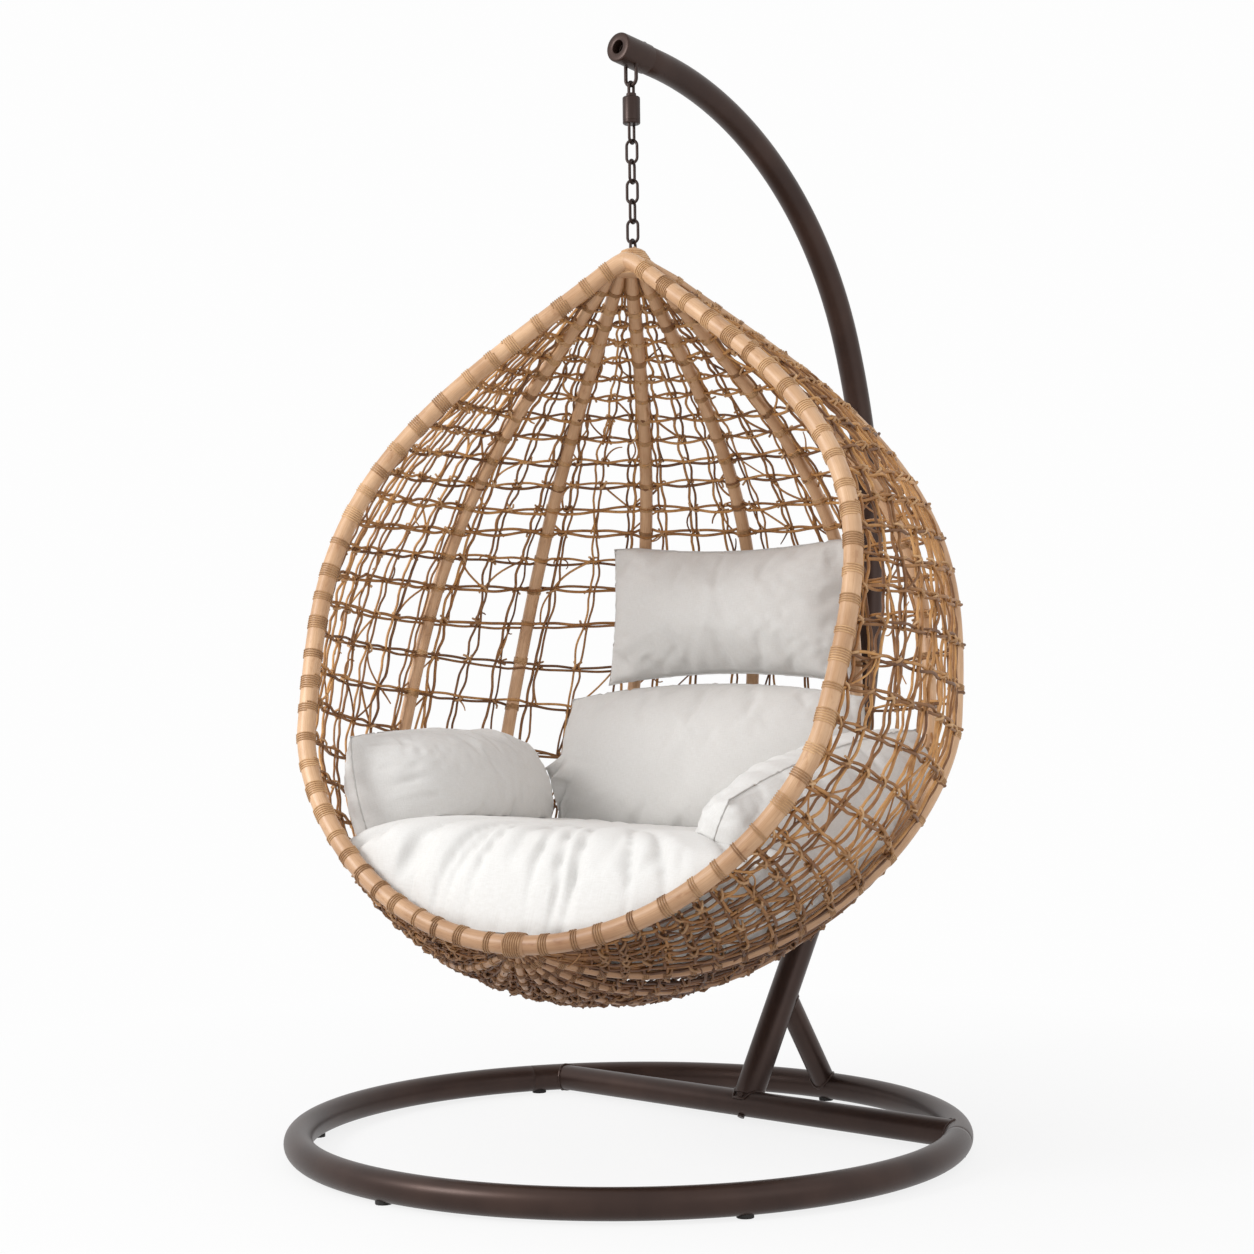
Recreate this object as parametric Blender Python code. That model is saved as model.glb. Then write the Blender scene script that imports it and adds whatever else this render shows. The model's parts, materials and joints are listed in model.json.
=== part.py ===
"""Hanging egg chair: a rattan basket with cushions, hung by a swivel and chain from a steel stand.

Metres, +Z up. The stand's arm plane is X = 0 and the chair looks towards -Y. Plan positions are
first given from the hook axis of the basket or the centre of the base ring, and one parent empty
moves everything so that the origin lies under the middle of the whole object.
"""
import math

import bmesh
import bpy
from mathutils import Matrix, Vector

# ---- fits ----
GAP = 0.0004                 # clearance left between touching pieces
SOFT_GAP = 0.0008            # clearance round a cushion
TUBE_SIDES = 12
ROD_SIDES = 8

# ---- steel stand ----
TUBE_RADIUS = 0.024          # base ring, cross tube and arm, 48 mm tube
TUBE_WALL = 0.0018
RING_RADIUS = 0.545          # centreline of the base ring
RING_SEGMENTS = 40
GLIDE_HEIGHT = 0.003         # rubber glide under the tube
GLIDE_RADIUS = 0.013
GLIDE_COUNT = 6
RING_JOINT_AHEAD = 0.06      # the ring's joints, along the ring in front of the cross tube
CROSS_RADIUS = 0.023
CROSS_OFFSET = 0.31          # cross tube behind the ring's centre
POLE_LEAN = math.radians(31.6)
POLE_WALL = 0.0016
POLE_FOOT_LIFT = 0.012       # pole's cut end above the cross tube's axis
POLE_LENGTH = 0.42           # along the pole's axis, from the cross tube's axis
POLE_OVERLAP = 0.075         # arm plugged into the pole
ARM_REAR_RADIUS = 1.194      # bend of the arm behind the basket
ARM_REAR_TOP_ANGLE = math.radians(19.7)
ARM_CROWN_RADIUS = 0.644     # tighter bend over the basket
ARM_TIP_ANGLE = math.radians(83.8)
ARM_BEND_STEP = math.radians(5.2)
ARM_STRAIGHT = 0.026         # straight run of the arm before the end fitting
SPIGOT_SHY = 0.004           # the fitting's spigot stops this far before the bend
FITTING_LENGTH = 0.072       # end fitting at the arm's tip
FITTING_RADIUS = 0.0255
FITTING_HOLE_RADIUS = 0.011
FITTING_HOLE_DEPTH = 0.018
BRACE_RADIUS = 0.021
BRACE_TOP = 0.215            # where the brace meets the pole, along the pole's axis
BOLT_RADIUS = 0.004
BOLT_HEAD_RADIUS = 0.0075
BOLT_HEAD_HEIGHT = 0.005
FOOT_HEAD_RADIUS = 0.0065
FOOT_HEAD_HEIGHT = 0.003
PLUG_LENGTH = 0.05           # threaded plug in the pole's foot

# ---- hanging gear ----
HOOK_FROM_TIP = 0.034        # hook axis behind the fitting's end face
EYE_ROD = 0.0032             # rod radius of the eye under the arm
EYE_WIDTH = 0.030            # outside width of the eye
EYE_DROP = 0.034             # from the fitting's underside to the eye's lowest point
EYE_ROOT = 0.014             # leg length inside the fitting
SWIVEL_LOOP_ROD = 0.0026
SWIVEL_LOOP_WIDTH = 0.017
SWIVEL_LOOP_HEIGHT = 0.028   # from the loop's top to the barrel
SWIVEL_RADIUS = 0.015
SWIVEL_HEIGHT = 0.047
SWIVEL_WALL = 0.004
SHANK_RADIUS = 0.0045
SHANK_HEAD_RADIUS = 0.0085
SHANK_HEAD_HEIGHT = 0.006
WASHER_HEIGHT = 0.003
SWIVEL_PLUG_HEIGHT = 0.009
LOWER_EYE_DROP = 0.035       # from the barrel's underside to the lower eye's lowest point
CHAIN_ROD = 0.0025
LINK_WIDTH = 0.0245          # outside width of a chain link
LINK_PITCH = 0.034
LINK_COUNT = 5
LINK_GAP = 0.0005            # air between the rods of two links
LINK_ARC_STEPS = 6
BASKET_YAW = math.radians(17)         # turn of the basket on its swivel

# ---- basket, heights above the underside of its bowl, plan from the hook axis ----
BODY_TOP = 1.262
BODY_WIDEST = 0.446
BODY_RADIUS = 0.538
CROWN_POWER = 3.2
CROWN_TAPER = 1.5
BOWL_POWER = 1.65
BOWL_TAPER = 0.5
NOSE_START = 0.746           # below this height the body leans forward
NOSE_GAIN = 0.2365
NOSE_POWER = 1.7
RIM_TOP_BACK = -0.024        # the rim's top and lowest points
RIM_TOP_HEIGHT = 1.234
RIM_FOOT_BACK = -0.450
RIM_FOOT_HEIGHT = 0.121
RIM_ROD = 0.015
RIM_SEGMENTS = 48
RIB_ROD = 0.012
RIB_SPREAD = math.radians(17.3)       # angle between ribs about the rim's long axis
RIB_RUN = 0.76               # half turn of a rib's straight runs against one net row
RIBS_EACH_SIDE = 3
HUB_RADIUS = 0.034
HUB_HEIGHT = 0.046
HUB_PLATE_HEIGHT = 0.006     # top of the apex hub over the rim
HUB_SEAT = 1.25              # level where that plate starts, in rim rods over the rim's centre
BASKET_EYE_WIDTH = 0.0245
BASKET_EYE_HEIGHT = 0.018
NET_THICKNESS = 0.006
NET_GAP = 0.0005             # between a panel's edge and the flat side of its rib
NET_STRAND = 0.006           # half width of a woven band
NET_ROWS = 13
NET_START = math.radians(11)          # angle of the first row from the rim's long axis
NET_END = math.radians(168)
SIDE_NET_COLUMNS = 4
RIB_NET_COLUMNS = 2

# ---- cushions: half sizes, and centres in the basket's frame ----
CUSHION_RIM_CLEARANCE = 0.002
SEAT_EASE = -0.0036          # the seat's weight sinks it this far past the even standoff
BOLSTER_EASE = -0.0012
UPPER_EASE = 0.0             # the two cushions that lean on the back
CUSHION_SQUARENESS = 3.0     # outline, 2 is an ellipse
CUSHION_CROWN = 2.2          # section through the thickness
CUSHION_DRAW = 0.06          # how far the middle of each side is drawn in
SEAT_HALF = (0.40, 0.37, 0.105)
SEAT_CENTRE = (0.0, -0.055, 0.180)
BACK_HALF = (0.29, 0.165, 0.110)
BACK_CENTRE = (0.0, 0.350, 0.345)
BACK_LEAN = math.radians(-10)
BOLSTER_HALF = (0.26, 0.125, 0.085)
BOLSTER_AZIMUTH = math.radians(92)    # from the basket's back
BOLSTER_DISTANCE = 0.395
BOLSTER_HEIGHT = 0.312
BOLSTER_LEAN = math.radians(-6)
PILLOW_HALF = (0.24, 0.135, 0.065)
PILLOW_CENTRE = (0.0, 0.430, 0.640)
PILLOW_LEAN = math.radians(-6)


# ---- modelling helpers ----
def clear_scene():
    for thing in list(bpy.data.objects):
        bpy.data.objects.remove(thing, do_unlink=True)


def material(name, colour, roughness, metallic=0.0):
    made = bpy.data.materials.new(name)
    made.use_nodes = True
    shader = made.node_tree.nodes["Principled BSDF"]
    shader.inputs["Base Color"].default_value = (*colour, 1.0)
    shader.inputs["Roughness"].default_value = roughness
    shader.inputs["Metallic"].default_value = metallic
    return made


def empty(name, location=(0.0, 0.0, 0.0), turn=0.0, parent=None):
    made = bpy.data.objects.new(name, None)
    made.location = location
    made.rotation_euler = (0.0, 0.0, turn)
    made.parent = parent
    bpy.context.collection.objects.link(made)
    return made


def piece(name, bm, finish, parent, location=(0.0, 0.0, 0.0)):
    """Turn a bmesh into a named object, smooth except at its sharp edges."""
    bmesh.ops.recalc_face_normals(bm, faces=bm.faces)
    mesh = bpy.data.meshes.new(name)
    bm.to_mesh(mesh)
    bm.free()
    mesh.materials.append(finish)
    mesh.shade_smooth()
    mesh.set_sharp_from_angle(angle=math.radians(40))
    made = bpy.data.objects.new(name, mesh)
    made.parent = parent
    made.location = location
    bpy.context.collection.objects.link(made)
    return made


def guide(thing):
    """Mark an object as a cutter, left out of the chair."""
    thing.hide_render = True
    thing.display_type = "WIRE"
    return thing


def cut(thing, cutter):
    step = thing.modifiers.new("cut", "BOOLEAN")
    step.operation = "DIFFERENCE"
    step.solver = "EXACT"
    step.object = cutter


def ring_of(point, tangent, normal, radius, sides, stretch=1.0):
    """Points of a rod's section: `normal` is square to the plane in which the rod bends."""
    across = tangent.cross(normal).normalized() * stretch
    turns = [(k + 0.5) * math.tau / sides for k in range(sides)]
    return [point + (across * math.cos(a) + normal * math.sin(a)) * radius for a in turns]


def rod_rings(points, normal, radius, sides, closed, lead):
    """Mitred sections along a flat path; `lead` gives the points beyond an open path's ends."""
    count = len(points)
    rings = []
    for k, point in enumerate(points):
        before = points[k - 1] if k or closed else lead[0] or point
        after = points[(k + 1) % count] if k < count - 1 or closed else lead[1] or point
        come = point - before if (point - before).length > 0 else after - point
        leave = after - point if (after - point).length > 0 else come
        tangent = (come.normalized() + leave.normalized()).normalized()
        stretch = 1.0 / max(tangent.dot(come.normalized()), 0.5)
        size = radius[k] if isinstance(radius, list) else radius
        rings.append(ring_of(point, tangent, normal, size, sides, stretch))
    return rings


def skin(bm, rings, closed):
    """Join sections with faces and return their rows of vertices."""
    rows = [[bm.verts.new(p) for p in ring] for ring in rings]
    sides = len(rows[0])
    for k in range(len(rows) if closed else len(rows) - 1):
        low, high = rows[k], rows[(k + 1) % len(rows)]
        for j in range(sides):
            bm.faces.new((low[j], low[(j + 1) % sides], high[(j + 1) % sides], high[j]))
    return rows


def rod_mesh(points, normal, radius, sides=ROD_SIDES, wall=0.0, closed=False, lead=(None, None)):
    """A solid rod, or a tube with open ends where a wall is given."""
    bm = bmesh.new()
    outer = skin(bm, rod_rings(points, normal, radius, sides, closed, lead), closed)
    if wall:
        inner = skin(bm, rod_rings(points, normal, radius - wall, sides, closed, lead), closed)
        for end in (0, -1):
            for j in range(sides):
                k = (j + 1) % sides
                bm.faces.new((outer[end][j], outer[end][k], inner[end][k], inner[end][j]))
    elif not closed:
        bm.faces.new(outer[0])
        bm.faces.new(outer[-1])
    return bm


def turned_mesh(origin, direction, normal, outline, sides=TUBE_SIDES, hollow=False):
    """A turned solid from (distance, radius) steps along `direction`; hollow joins last to first."""
    bm = bmesh.new()
    rings = [ring_of(origin + direction * d, direction, normal, r, sides) for d, r in outline]
    rows = skin(bm, rings, hollow)
    if not hollow:
        bm.faces.new(rows[0])
        bm.faces.new(rows[-1])
    return bm


def stadium(width, height, steps):
    """Centreline of a chain link in the XZ plane, from its centre: two straights and two arcs."""
    reach = (height - width) / 2
    points = []
    for centre, start in ((reach, 0.0), (-reach, math.pi)):
        for k in range(steps + 1):
            a = start + math.pi * k / steps
            points.append(Vector((math.cos(a) * width / 2, 0.0, centre + math.sin(a) * width / 2)))
    return points


def hairpin(width, height, steps):
    """Centreline of a U in the XZ plane: open ends at z = 0, the arc's end at z = -height."""
    half = width / 2
    arc = [math.pi + math.pi * k / steps for k in range(steps + 1)]
    bend = [Vector((math.cos(a) * half, 0.0, math.sin(a) * half - height + half)) for a in arc]
    return [Vector((-half, 0.0, 0.0))] + bend + [Vector((half, 0.0, 0.0))]


# ---- where the stand's pieces lie, from the ring's centre on the floor ----
X_AXIS = Vector((1.0, 0.0, 0.0))
Y_AXIS = Vector((0.0, 1.0, 0.0))
Z_AXIS = Vector((0.0, 0.0, 1.0))
TUBE_HEIGHT = GLIDE_HEIGHT + TUBE_RADIUS
CROSS_CENTRE = Vector((0.0, CROSS_OFFSET, TUBE_HEIGHT))
CROSS_HALF = math.sqrt(RING_RADIUS ** 2 - CROSS_OFFSET ** 2)
POLE_RADIUS = TUBE_RADIUS + GAP + POLE_WALL
RING_JOINT_ANGLE = math.asin(CROSS_OFFSET / RING_RADIUS) - RING_JOINT_AHEAD / RING_RADIUS


def heading(lean):
    """Unit direction in the arm plane: 0 is straight up, positive leans back."""
    return Vector((0.0, math.sin(lean), math.cos(lean)))


def pole_point(distance):
    return CROSS_CENTRE + heading(POLE_LEAN) * distance


def bend_points(start, from_lean, to_lean, radius):
    """Points along an arc of the arm, after its start point, and its end point."""
    steps = max(2, round((from_lean - to_lean) / ARM_BEND_STEP))
    points = []
    for k in range(1, steps + 1):
        lean = from_lean + (to_lean - from_lean) * k / steps
        rise = math.sin(from_lean) - math.sin(lean)
        run = math.cos(lean) - math.cos(from_lean)
        points.append(start + Vector((0.0, run, rise)) * radius)
    return points


def arm_points():
    """Centreline of the arm, from inside the pole to the end fitting."""
    path = [pole_point(POLE_LENGTH - POLE_OVERLAP), pole_point(POLE_LENGTH)]
    path += bend_points(path[-1], POLE_LEAN, -ARM_REAR_TOP_ANGLE, ARM_REAR_RADIUS)
    path += bend_points(path[-1], -ARM_REAR_TOP_ANGLE, -ARM_TIP_ANGLE, ARM_CROWN_RADIUS)
    path.append(path[-1] + heading(-ARM_TIP_ANGLE) * ARM_STRAIGHT)
    return path


ARM_PATH = arm_points()
FITTING_ROOT = ARM_PATH[-1]
FITTING_TIP = FITTING_ROOT + heading(-ARM_TIP_ANGLE) * FITTING_LENGTH
HOOK_BACK = FITTING_TIP.y + HOOK_FROM_TIP
HOOK_TUBE_HEIGHT = FITTING_TIP.z - HOOK_FROM_TIP / math.tan(ARM_TIP_ANGLE)
FITTING_UNDERSIDE = HOOK_TUBE_HEIGHT - FITTING_RADIUS / math.sin(ARM_TIP_ANGLE)
REAR_EDGE = max(point.y for point in ARM_PATH) + TUBE_RADIUS
FRONT_EDGE = -RING_RADIUS - TUBE_RADIUS
PLAN_SHIFT = -(REAR_EDGE + FRONT_EDGE) / 2


# ---- stand ----
def ring_arc(from_angle, to_angle, steps):
    """Points on the base ring's centreline and the points beyond its ends."""
    angles = [from_angle + (to_angle - from_angle) * k / steps for k in range(-1, steps + 2)]
    flat = [Vector((math.cos(a), math.sin(a), 0.0)) * RING_RADIUS for a in angles]
    points = [p + Z_AXIS * TUBE_HEIGHT for p in flat]
    return points[1:-1], (points[0], points[-1])


def ring_spans():
    """Start angle, end angle and steps of the rear and the front arc of the ring."""
    seam = GAP / 2 / RING_RADIUS
    rear = (RING_JOINT_ANGLE + seam, math.pi - RING_JOINT_ANGLE - seam)
    front = (math.pi - RING_JOINT_ANGLE + seam, math.tau + RING_JOINT_ANGLE - seam)
    spans = []
    for start, end in (rear, front):
        spans.append((start, end, max(4, round(RING_SEGMENTS * (end - start) / math.tau))))
    return spans


def base_ring(root, steel):
    for name, span in zip(("base_ring_rear", "base_ring_front"), ring_spans()):
        points, lead = ring_arc(*span)
        bm = rod_mesh(points, Z_AXIS, TUBE_RADIUS, TUBE_SIDES, TUBE_WALL, lead=lead)
        piece(name, bm, steel, root)


def ring_cutter(root, steel, grow):
    """The whole ring as solid arcs, larger by `grow`, to shape what sits against it."""
    bm = bmesh.new()
    for start, end, steps in ring_spans():
        points, lead = ring_arc(start, end, steps)
        rings = rod_rings(points, Z_AXIS, TUBE_RADIUS + grow, TUBE_SIDES, False, lead)
        rows = skin(bm, rings, False)
        bm.faces.new(rows[0])
        bm.faces.new(rows[-1])
    return guide(piece("ring_cutter", bm, steel, root))


def ring_spigots(root, steel):
    """Short tubes inside the ring's two joints, one segment long on each side."""
    rear, front = ring_spans()
    radius = TUBE_RADIUS - TUBE_WALL - GAP
    for side, name in ((1, "ring_spigot_right"), (-1, "ring_spigot_left")):
        points = []
        for angle in (RING_JOINT_ANGLE + (rear[1] - rear[0]) / rear[2],
                      RING_JOINT_ANGLE,
                      RING_JOINT_ANGLE - (front[1] - front[0]) / front[2]):
            spot = Vector((side * math.cos(angle), math.sin(angle), 0.0)) * RING_RADIUS
            points.append(spot + Z_AXIS * TUBE_HEIGHT)
        piece(name, rod_mesh(points, Z_AXIS, radius, TUBE_SIDES, TUBE_WALL), steel, root)


def glides(root, rubber, ring_shape):
    top = GLIDE_HEIGHT + TUBE_RADIUS / 4
    for k in range(GLIDE_COUNT):
        angle = math.tau * (k + 0.5) / GLIDE_COUNT
        spot = Vector((math.cos(angle), math.sin(angle), 0.0)) * RING_RADIUS
        bm = turned_mesh(Vector(), Z_AXIS, X_AXIS, [(0.0, GLIDE_RADIUS), (top, GLIDE_RADIUS)])
        cut(piece(f"floor_glide_{k + 1}", bm, rubber, root, spot), ring_shape)


def straight_rod(name, start, end, radius, finish, parent, wall=0.0, sides=TUBE_SIDES):
    """A straight tube or rod whose bending plane would be the arm plane or a level one."""
    normal = X_AXIS if abs((end - start).x) < 1e-9 else Z_AXIS
    return piece(name, rod_mesh([start, end], normal, radius, sides, wall), finish, parent)


def stand_frame(root, steel, ring_shape):
    """Cross tube, pole and brace, each shaped to the tube it is welded to."""
    reach = X_AXIS * CROSS_HALF
    cross = straight_rod("cross_tube", CROSS_CENTRE - reach, CROSS_CENTRE + reach,
                         CROSS_RADIUS, steel, root, TUBE_WALL)
    cut(cross, ring_shape)
    cross_shape = guide(straight_rod("cross_cutter", CROSS_CENTRE - reach, CROSS_CENTRE + reach,
                                     CROSS_RADIUS + GAP, steel, root))
    pole = straight_rod("lower_pole", pole_point(POLE_FOOT_LIFT), pole_point(POLE_LENGTH),
                        POLE_RADIUS, steel, root, POLE_WALL)
    cut(pole, cross_shape)
    pole_shape = guide(straight_rod("pole_cutter", CROSS_CENTRE, pole_point(POLE_LENGTH),
                                    POLE_RADIUS + GAP, steel, root))
    ring_rear = Vector((0.0, RING_RADIUS, TUBE_HEIGHT))
    brace = straight_rod("brace_tube", ring_rear, pole_point(BRACE_TOP), BRACE_RADIUS,
                         steel, root, TUBE_WALL)
    cut(brace, ring_shape)
    cut(brace, pole_shape)
    return cross, pole


def hole_cutter(name, start, direction, length, radius, root, finish):
    normal = X_AXIS if abs(direction.x) < 0.5 else Z_AXIS
    bm = turned_mesh(start, direction, normal, [(0.0, radius), (length, radius)], ROD_SIDES)
    return guide(piece(name, bm, finish, root))


def foot_fixing(root, steel, cross):
    """Threaded plug in the pole's foot and the bolt that holds it to the cross tube."""
    axis = heading(POLE_LEAN)
    plug_radius = POLE_RADIUS - POLE_WALL - GAP
    plug = straight_rod("pole_foot_plug", CROSS_CENTRE, pole_point(CROSS_RADIUS + PLUG_LENGTH),
                        plug_radius, steel, root)
    cut(plug, bpy.data.objects["cross_cutter"])
    under = -CROSS_RADIUS - GAP
    tip = CROSS_RADIUS + PLUG_LENGTH / 2
    outline = [(under - FOOT_HEAD_HEIGHT, FOOT_HEAD_RADIUS), (under, FOOT_HEAD_RADIUS),
               (under, BOLT_RADIUS), (tip, BOLT_RADIUS)]
    piece("foot_bolt", turned_mesh(CROSS_CENTRE, axis, X_AXIS, outline, ROD_SIDES), steel, root)
    drilled = 2 * CROSS_RADIUS
    hole = hole_cutter("foot_hole", pole_point(-drilled), axis, drilled + tip + GAP,
                       BOLT_RADIUS + GAP, root, steel)
    cut(cross, hole)
    cut(plug, hole)


def cross_bolt(name, centre, half_grip, holed, root, steel):
    """A bolt along X with a head and a nut on the outside of the tubes that it holds."""
    reach = half_grip + GAP
    outline = [(-reach - BOLT_HEAD_HEIGHT, BOLT_HEAD_RADIUS), (-reach, BOLT_HEAD_RADIUS),
               (-reach, BOLT_RADIUS), (reach, BOLT_RADIUS),
               (reach, BOLT_HEAD_RADIUS), (reach + BOLT_HEAD_HEIGHT, BOLT_HEAD_RADIUS)]
    piece(name, turned_mesh(centre, X_AXIS, Z_AXIS, outline, ROD_SIDES), steel, root)
    hole = hole_cutter(name + "_hole", centre - X_AXIS * 2 * half_grip, X_AXIS, 4 * half_grip,
                       BOLT_RADIUS + GAP, root, steel)
    for thing in holed:
        cut(thing, hole)


def arm_and_fitting(root, steel):
    """The bent arm and the solid fitting on its tip that carries the eye."""
    bm = rod_mesh(ARM_PATH, X_AXIS, TUBE_RADIUS, TUBE_SIDES, TUBE_WALL, lead=(None, FITTING_TIP))
    arm = piece("upper_arm", bm, steel, root)
    spigot_radius = TUBE_RADIUS - TUBE_WALL - GAP
    outline = [(SPIGOT_SHY - ARM_STRAIGHT, spigot_radius), (GAP, spigot_radius),
               (GAP, FITTING_RADIUS), (FITTING_LENGTH, FITTING_RADIUS),
               (FITTING_LENGTH, FITTING_HOLE_RADIUS),
               (FITTING_LENGTH - FITTING_HOLE_DEPTH, FITTING_HOLE_RADIUS)]
    bm = turned_mesh(FITTING_ROOT, heading(-ARM_TIP_ANGLE), X_AXIS, outline)
    fitting = piece("arm_end_fitting", bm, steel, root)
    return arm, fitting


def hanging_eye(root, dark, fitting):
    """The U under the fitting, its two legs set in drilled holes."""
    drop = EYE_DROP + EYE_ROOT - EYE_ROD
    points = [p + Vector((0.0, HOOK_BACK, FITTING_UNDERSIDE + EYE_ROOT))
              for p in hairpin(EYE_WIDTH - 2 * EYE_ROD, drop, LINK_ARC_STEPS)]
    piece("hanging_eye", rod_mesh(points, Y_AXIS, EYE_ROD), dark, root)
    for side, leg in ((-1, points[0]), (1, points[-1])):
        start = leg - Z_AXIS * 2 * EYE_ROOT
        hole = hole_cutter(f"eye_hole_{side}", start, Z_AXIS, 2 * EYE_ROOT + GAP,
                           EYE_ROD + GAP, root, dark)
        cut(fitting, hole)


# ---- hanging gear ----
def loop_heights():
    """Heights of the rods that carry each other, from the eye down to the basket."""
    heights = {"eye": FITTING_UNDERSIDE - EYE_DROP + EYE_ROD}
    loop_top = heights["eye"] + EYE_ROD + LINK_GAP + SWIVEL_LOOP_ROD
    heights["loop"] = loop_top
    heights["barrel"] = loop_top + SWIVEL_LOOP_ROD - SWIVEL_LOOP_HEIGHT
    heights["barrel_foot"] = heights["barrel"] - SWIVEL_HEIGHT
    heights["lower_eye"] = heights["barrel_foot"] - LOWER_EYE_DROP + CHAIN_ROD
    return heights


HEIGHTS = loop_heights()
ROD_STEP = 2 * CHAIN_ROD + LINK_GAP
BASKET_PIVOT_HEIGHT = HEIGHTS["lower_eye"] - LINK_PITCH * LINK_COUNT


def swivel_top(root, dark):
    """Loop through the eye, standing on the flange of the shank that carries the barrel."""
    pivot = Vector((0.0, HOOK_BACK, HEIGHTS["eye"]))
    width = SWIVEL_LOOP_WIDTH - 2 * SWIVEL_LOOP_ROD
    crown = HEIGHTS["loop"] - HEIGHTS["eye"]
    foot = HEIGHTS["barrel"] - HEIGHTS["eye"]
    height = crown - foot - SHANK_HEAD_HEIGHT
    bend = hairpin(width, height, LINK_ARC_STEPS)
    points = [Vector((0.0, p.x, crown - height - p.z)) for p in bend]
    piece("swivel_top_loop", rod_mesh(points, X_AXIS, SWIVEL_LOOP_ROD), dark, root, pivot)
    shelf = foot - SWIVEL_WALL - GAP - WASHER_HEIGHT - GAP
    outline = [(shelf - SHANK_HEAD_HEIGHT, SHANK_HEAD_RADIUS), (shelf, SHANK_HEAD_RADIUS),
               (shelf, SHANK_RADIUS), (foot + GAP, SHANK_RADIUS),
               (foot + GAP, SWIVEL_LOOP_WIDTH / 2),
               (foot + SHANK_HEAD_HEIGHT - GAP, SWIVEL_LOOP_WIDTH / 2)]
    piece("swivel_shank", turned_mesh(Vector(), Z_AXIS, X_AXIS, outline), dark, root, pivot)


def swivel_body(hung, dark, bare):
    """Barrel, thrust washer, closing plug and the lower eye, which turn on the shank."""
    pivot = Vector((0.0, 0.0, HEIGHTS["barrel"]))
    bore = SWIVEL_RADIUS - SWIVEL_WALL
    neck = SHANK_RADIUS + GAP
    outline = [(0.0, SWIVEL_RADIUS), (-SWIVEL_HEIGHT, SWIVEL_RADIUS), (-SWIVEL_HEIGHT, bore),
               (-SWIVEL_WALL, bore), (-SWIVEL_WALL, neck), (0.0, neck)]
    barrel = turned_mesh(Vector(), Z_AXIS, X_AXIS, outline, hollow=True)
    piece("swivel_barrel", barrel, dark, hung, pivot)
    top = -SWIVEL_WALL - GAP
    ring = [(top, bore - GAP), (top - WASHER_HEIGHT, bore - GAP), (top - WASHER_HEIGHT, neck),
            (top, neck)]
    piece("swivel_washer", turned_mesh(Vector(), Z_AXIS, X_AXIS, ring, hollow=True), bare, hung,
          pivot)
    plug = [(-SWIVEL_HEIGHT, bore - GAP), (SWIVEL_PLUG_HEIGHT - SWIVEL_HEIGHT, bore - GAP)]
    piece("swivel_plug", turned_mesh(Vector(), Z_AXIS, X_AXIS, plug), dark, hung, pivot)
    drop = LOWER_EYE_DROP - CHAIN_ROD - GAP
    points = [p - Z_AXIS * (SWIVEL_HEIGHT + GAP)
              for p in hairpin(LINK_WIDTH - 2 * CHAIN_ROD, drop, LINK_ARC_STEPS)]
    turned = [Vector((0.0, p.x, p.z)) for p in points]
    piece("swivel_lower_eye", rod_mesh(turned, X_AXIS, CHAIN_ROD), dark, hung, pivot)


def chain_links(hung, dark):
    """Links hung in each other, every second one turned by a quarter."""
    shape = stadium(LINK_WIDTH - 2 * CHAIN_ROD, LINK_PITCH + ROD_STEP, LINK_ARC_STEPS)
    for k in range(LINK_COUNT):
        pivot = Vector((0.0, 0.0, HEIGHTS["lower_eye"] - LINK_PITCH * k))
        drop = Z_AXIS * (ROD_STEP - (LINK_PITCH + ROD_STEP) / 2)
        flat = k % 2 == 0
        points = [drop + (p if flat else Vector((0.0, p.x, p.z))) for p in shape]
        bm = rod_mesh(points, Y_AXIS if flat else X_AXIS, CHAIN_ROD, closed=True)
        piece(f"chain_link_{k + 1}", bm, dark, hung, pivot)


# ---- the basket's surface, on which rim, ribs and net lie ----
RIM_TOP = Vector((0.0, RIM_TOP_BACK, RIM_TOP_HEIGHT))
RIM_FOOT = Vector((0.0, RIM_FOOT_BACK, RIM_FOOT_HEIGHT))
POLE_AXIS = (RIM_TOP - RIM_FOOT).normalized()
BODY_MIDDLE = (RIM_TOP + RIM_FOOT) / 2
OUTWARD = X_AXIS.cross(POLE_AXIS).normalized() * -1.0


def body_radius(height):
    if height >= BODY_WIDEST:
        share = min((height - BODY_WIDEST) / (BODY_TOP - BODY_WIDEST), 1.0)
        return BODY_RADIUS * (1.0 - share ** CROWN_POWER) ** CROWN_TAPER
    share = min((BODY_WIDEST - height) / BODY_WIDEST, 1.0)
    return BODY_RADIUS * (1.0 - share ** BOWL_POWER) ** BOWL_TAPER


def body_nose(height):
    """How far the section at this height is moved forward."""
    return NOSE_GAIN * max(NOSE_START - height, 0.0) ** NOSE_POWER


def outside(point):
    """Radial distance of a point outside the body, negative inside it."""
    return math.hypot(point.x, point.y + body_nose(point.z)) - body_radius(point.z)


def depth_of(point):
    """Distance under the body's surface, to first order."""
    step = 1e-4
    slope = Vector([(outside(point + axis * step) - outside(point - axis * step)) / (2 * step)
                    for axis in (X_AXIS, Y_AXIS, Z_AXIS)])
    return -outside(point) / max(slope.length, 1e-6)


def ray_to_surface(direction, depth=0.0, start=BODY_MIDDLE):
    """First point from the middle of the body that lies `depth` under its surface."""
    near, far = 0.0, 2.0 * BODY_TOP
    steps = 60
    for k in range(1, steps + 1):
        if depth_of(start + direction * (far * k / steps)) < depth:
            near, far = far * (k - 1) / steps, far * k / steps
            break
    for _ in range(24):
        middle = (near + far) / 2
        if depth_of(start + direction * middle) < depth:
            far = middle
        else:
            near = middle
    return start + direction * near


def surface_point(side, along):
    """`side` is the angle from the back about the rim's long axis, `along` from its top."""
    out = OUTWARD * math.cos(side) + X_AXIS * math.sin(side)
    return ray_to_surface(POLE_AXIS * math.cos(along) + out * math.sin(along))


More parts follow.
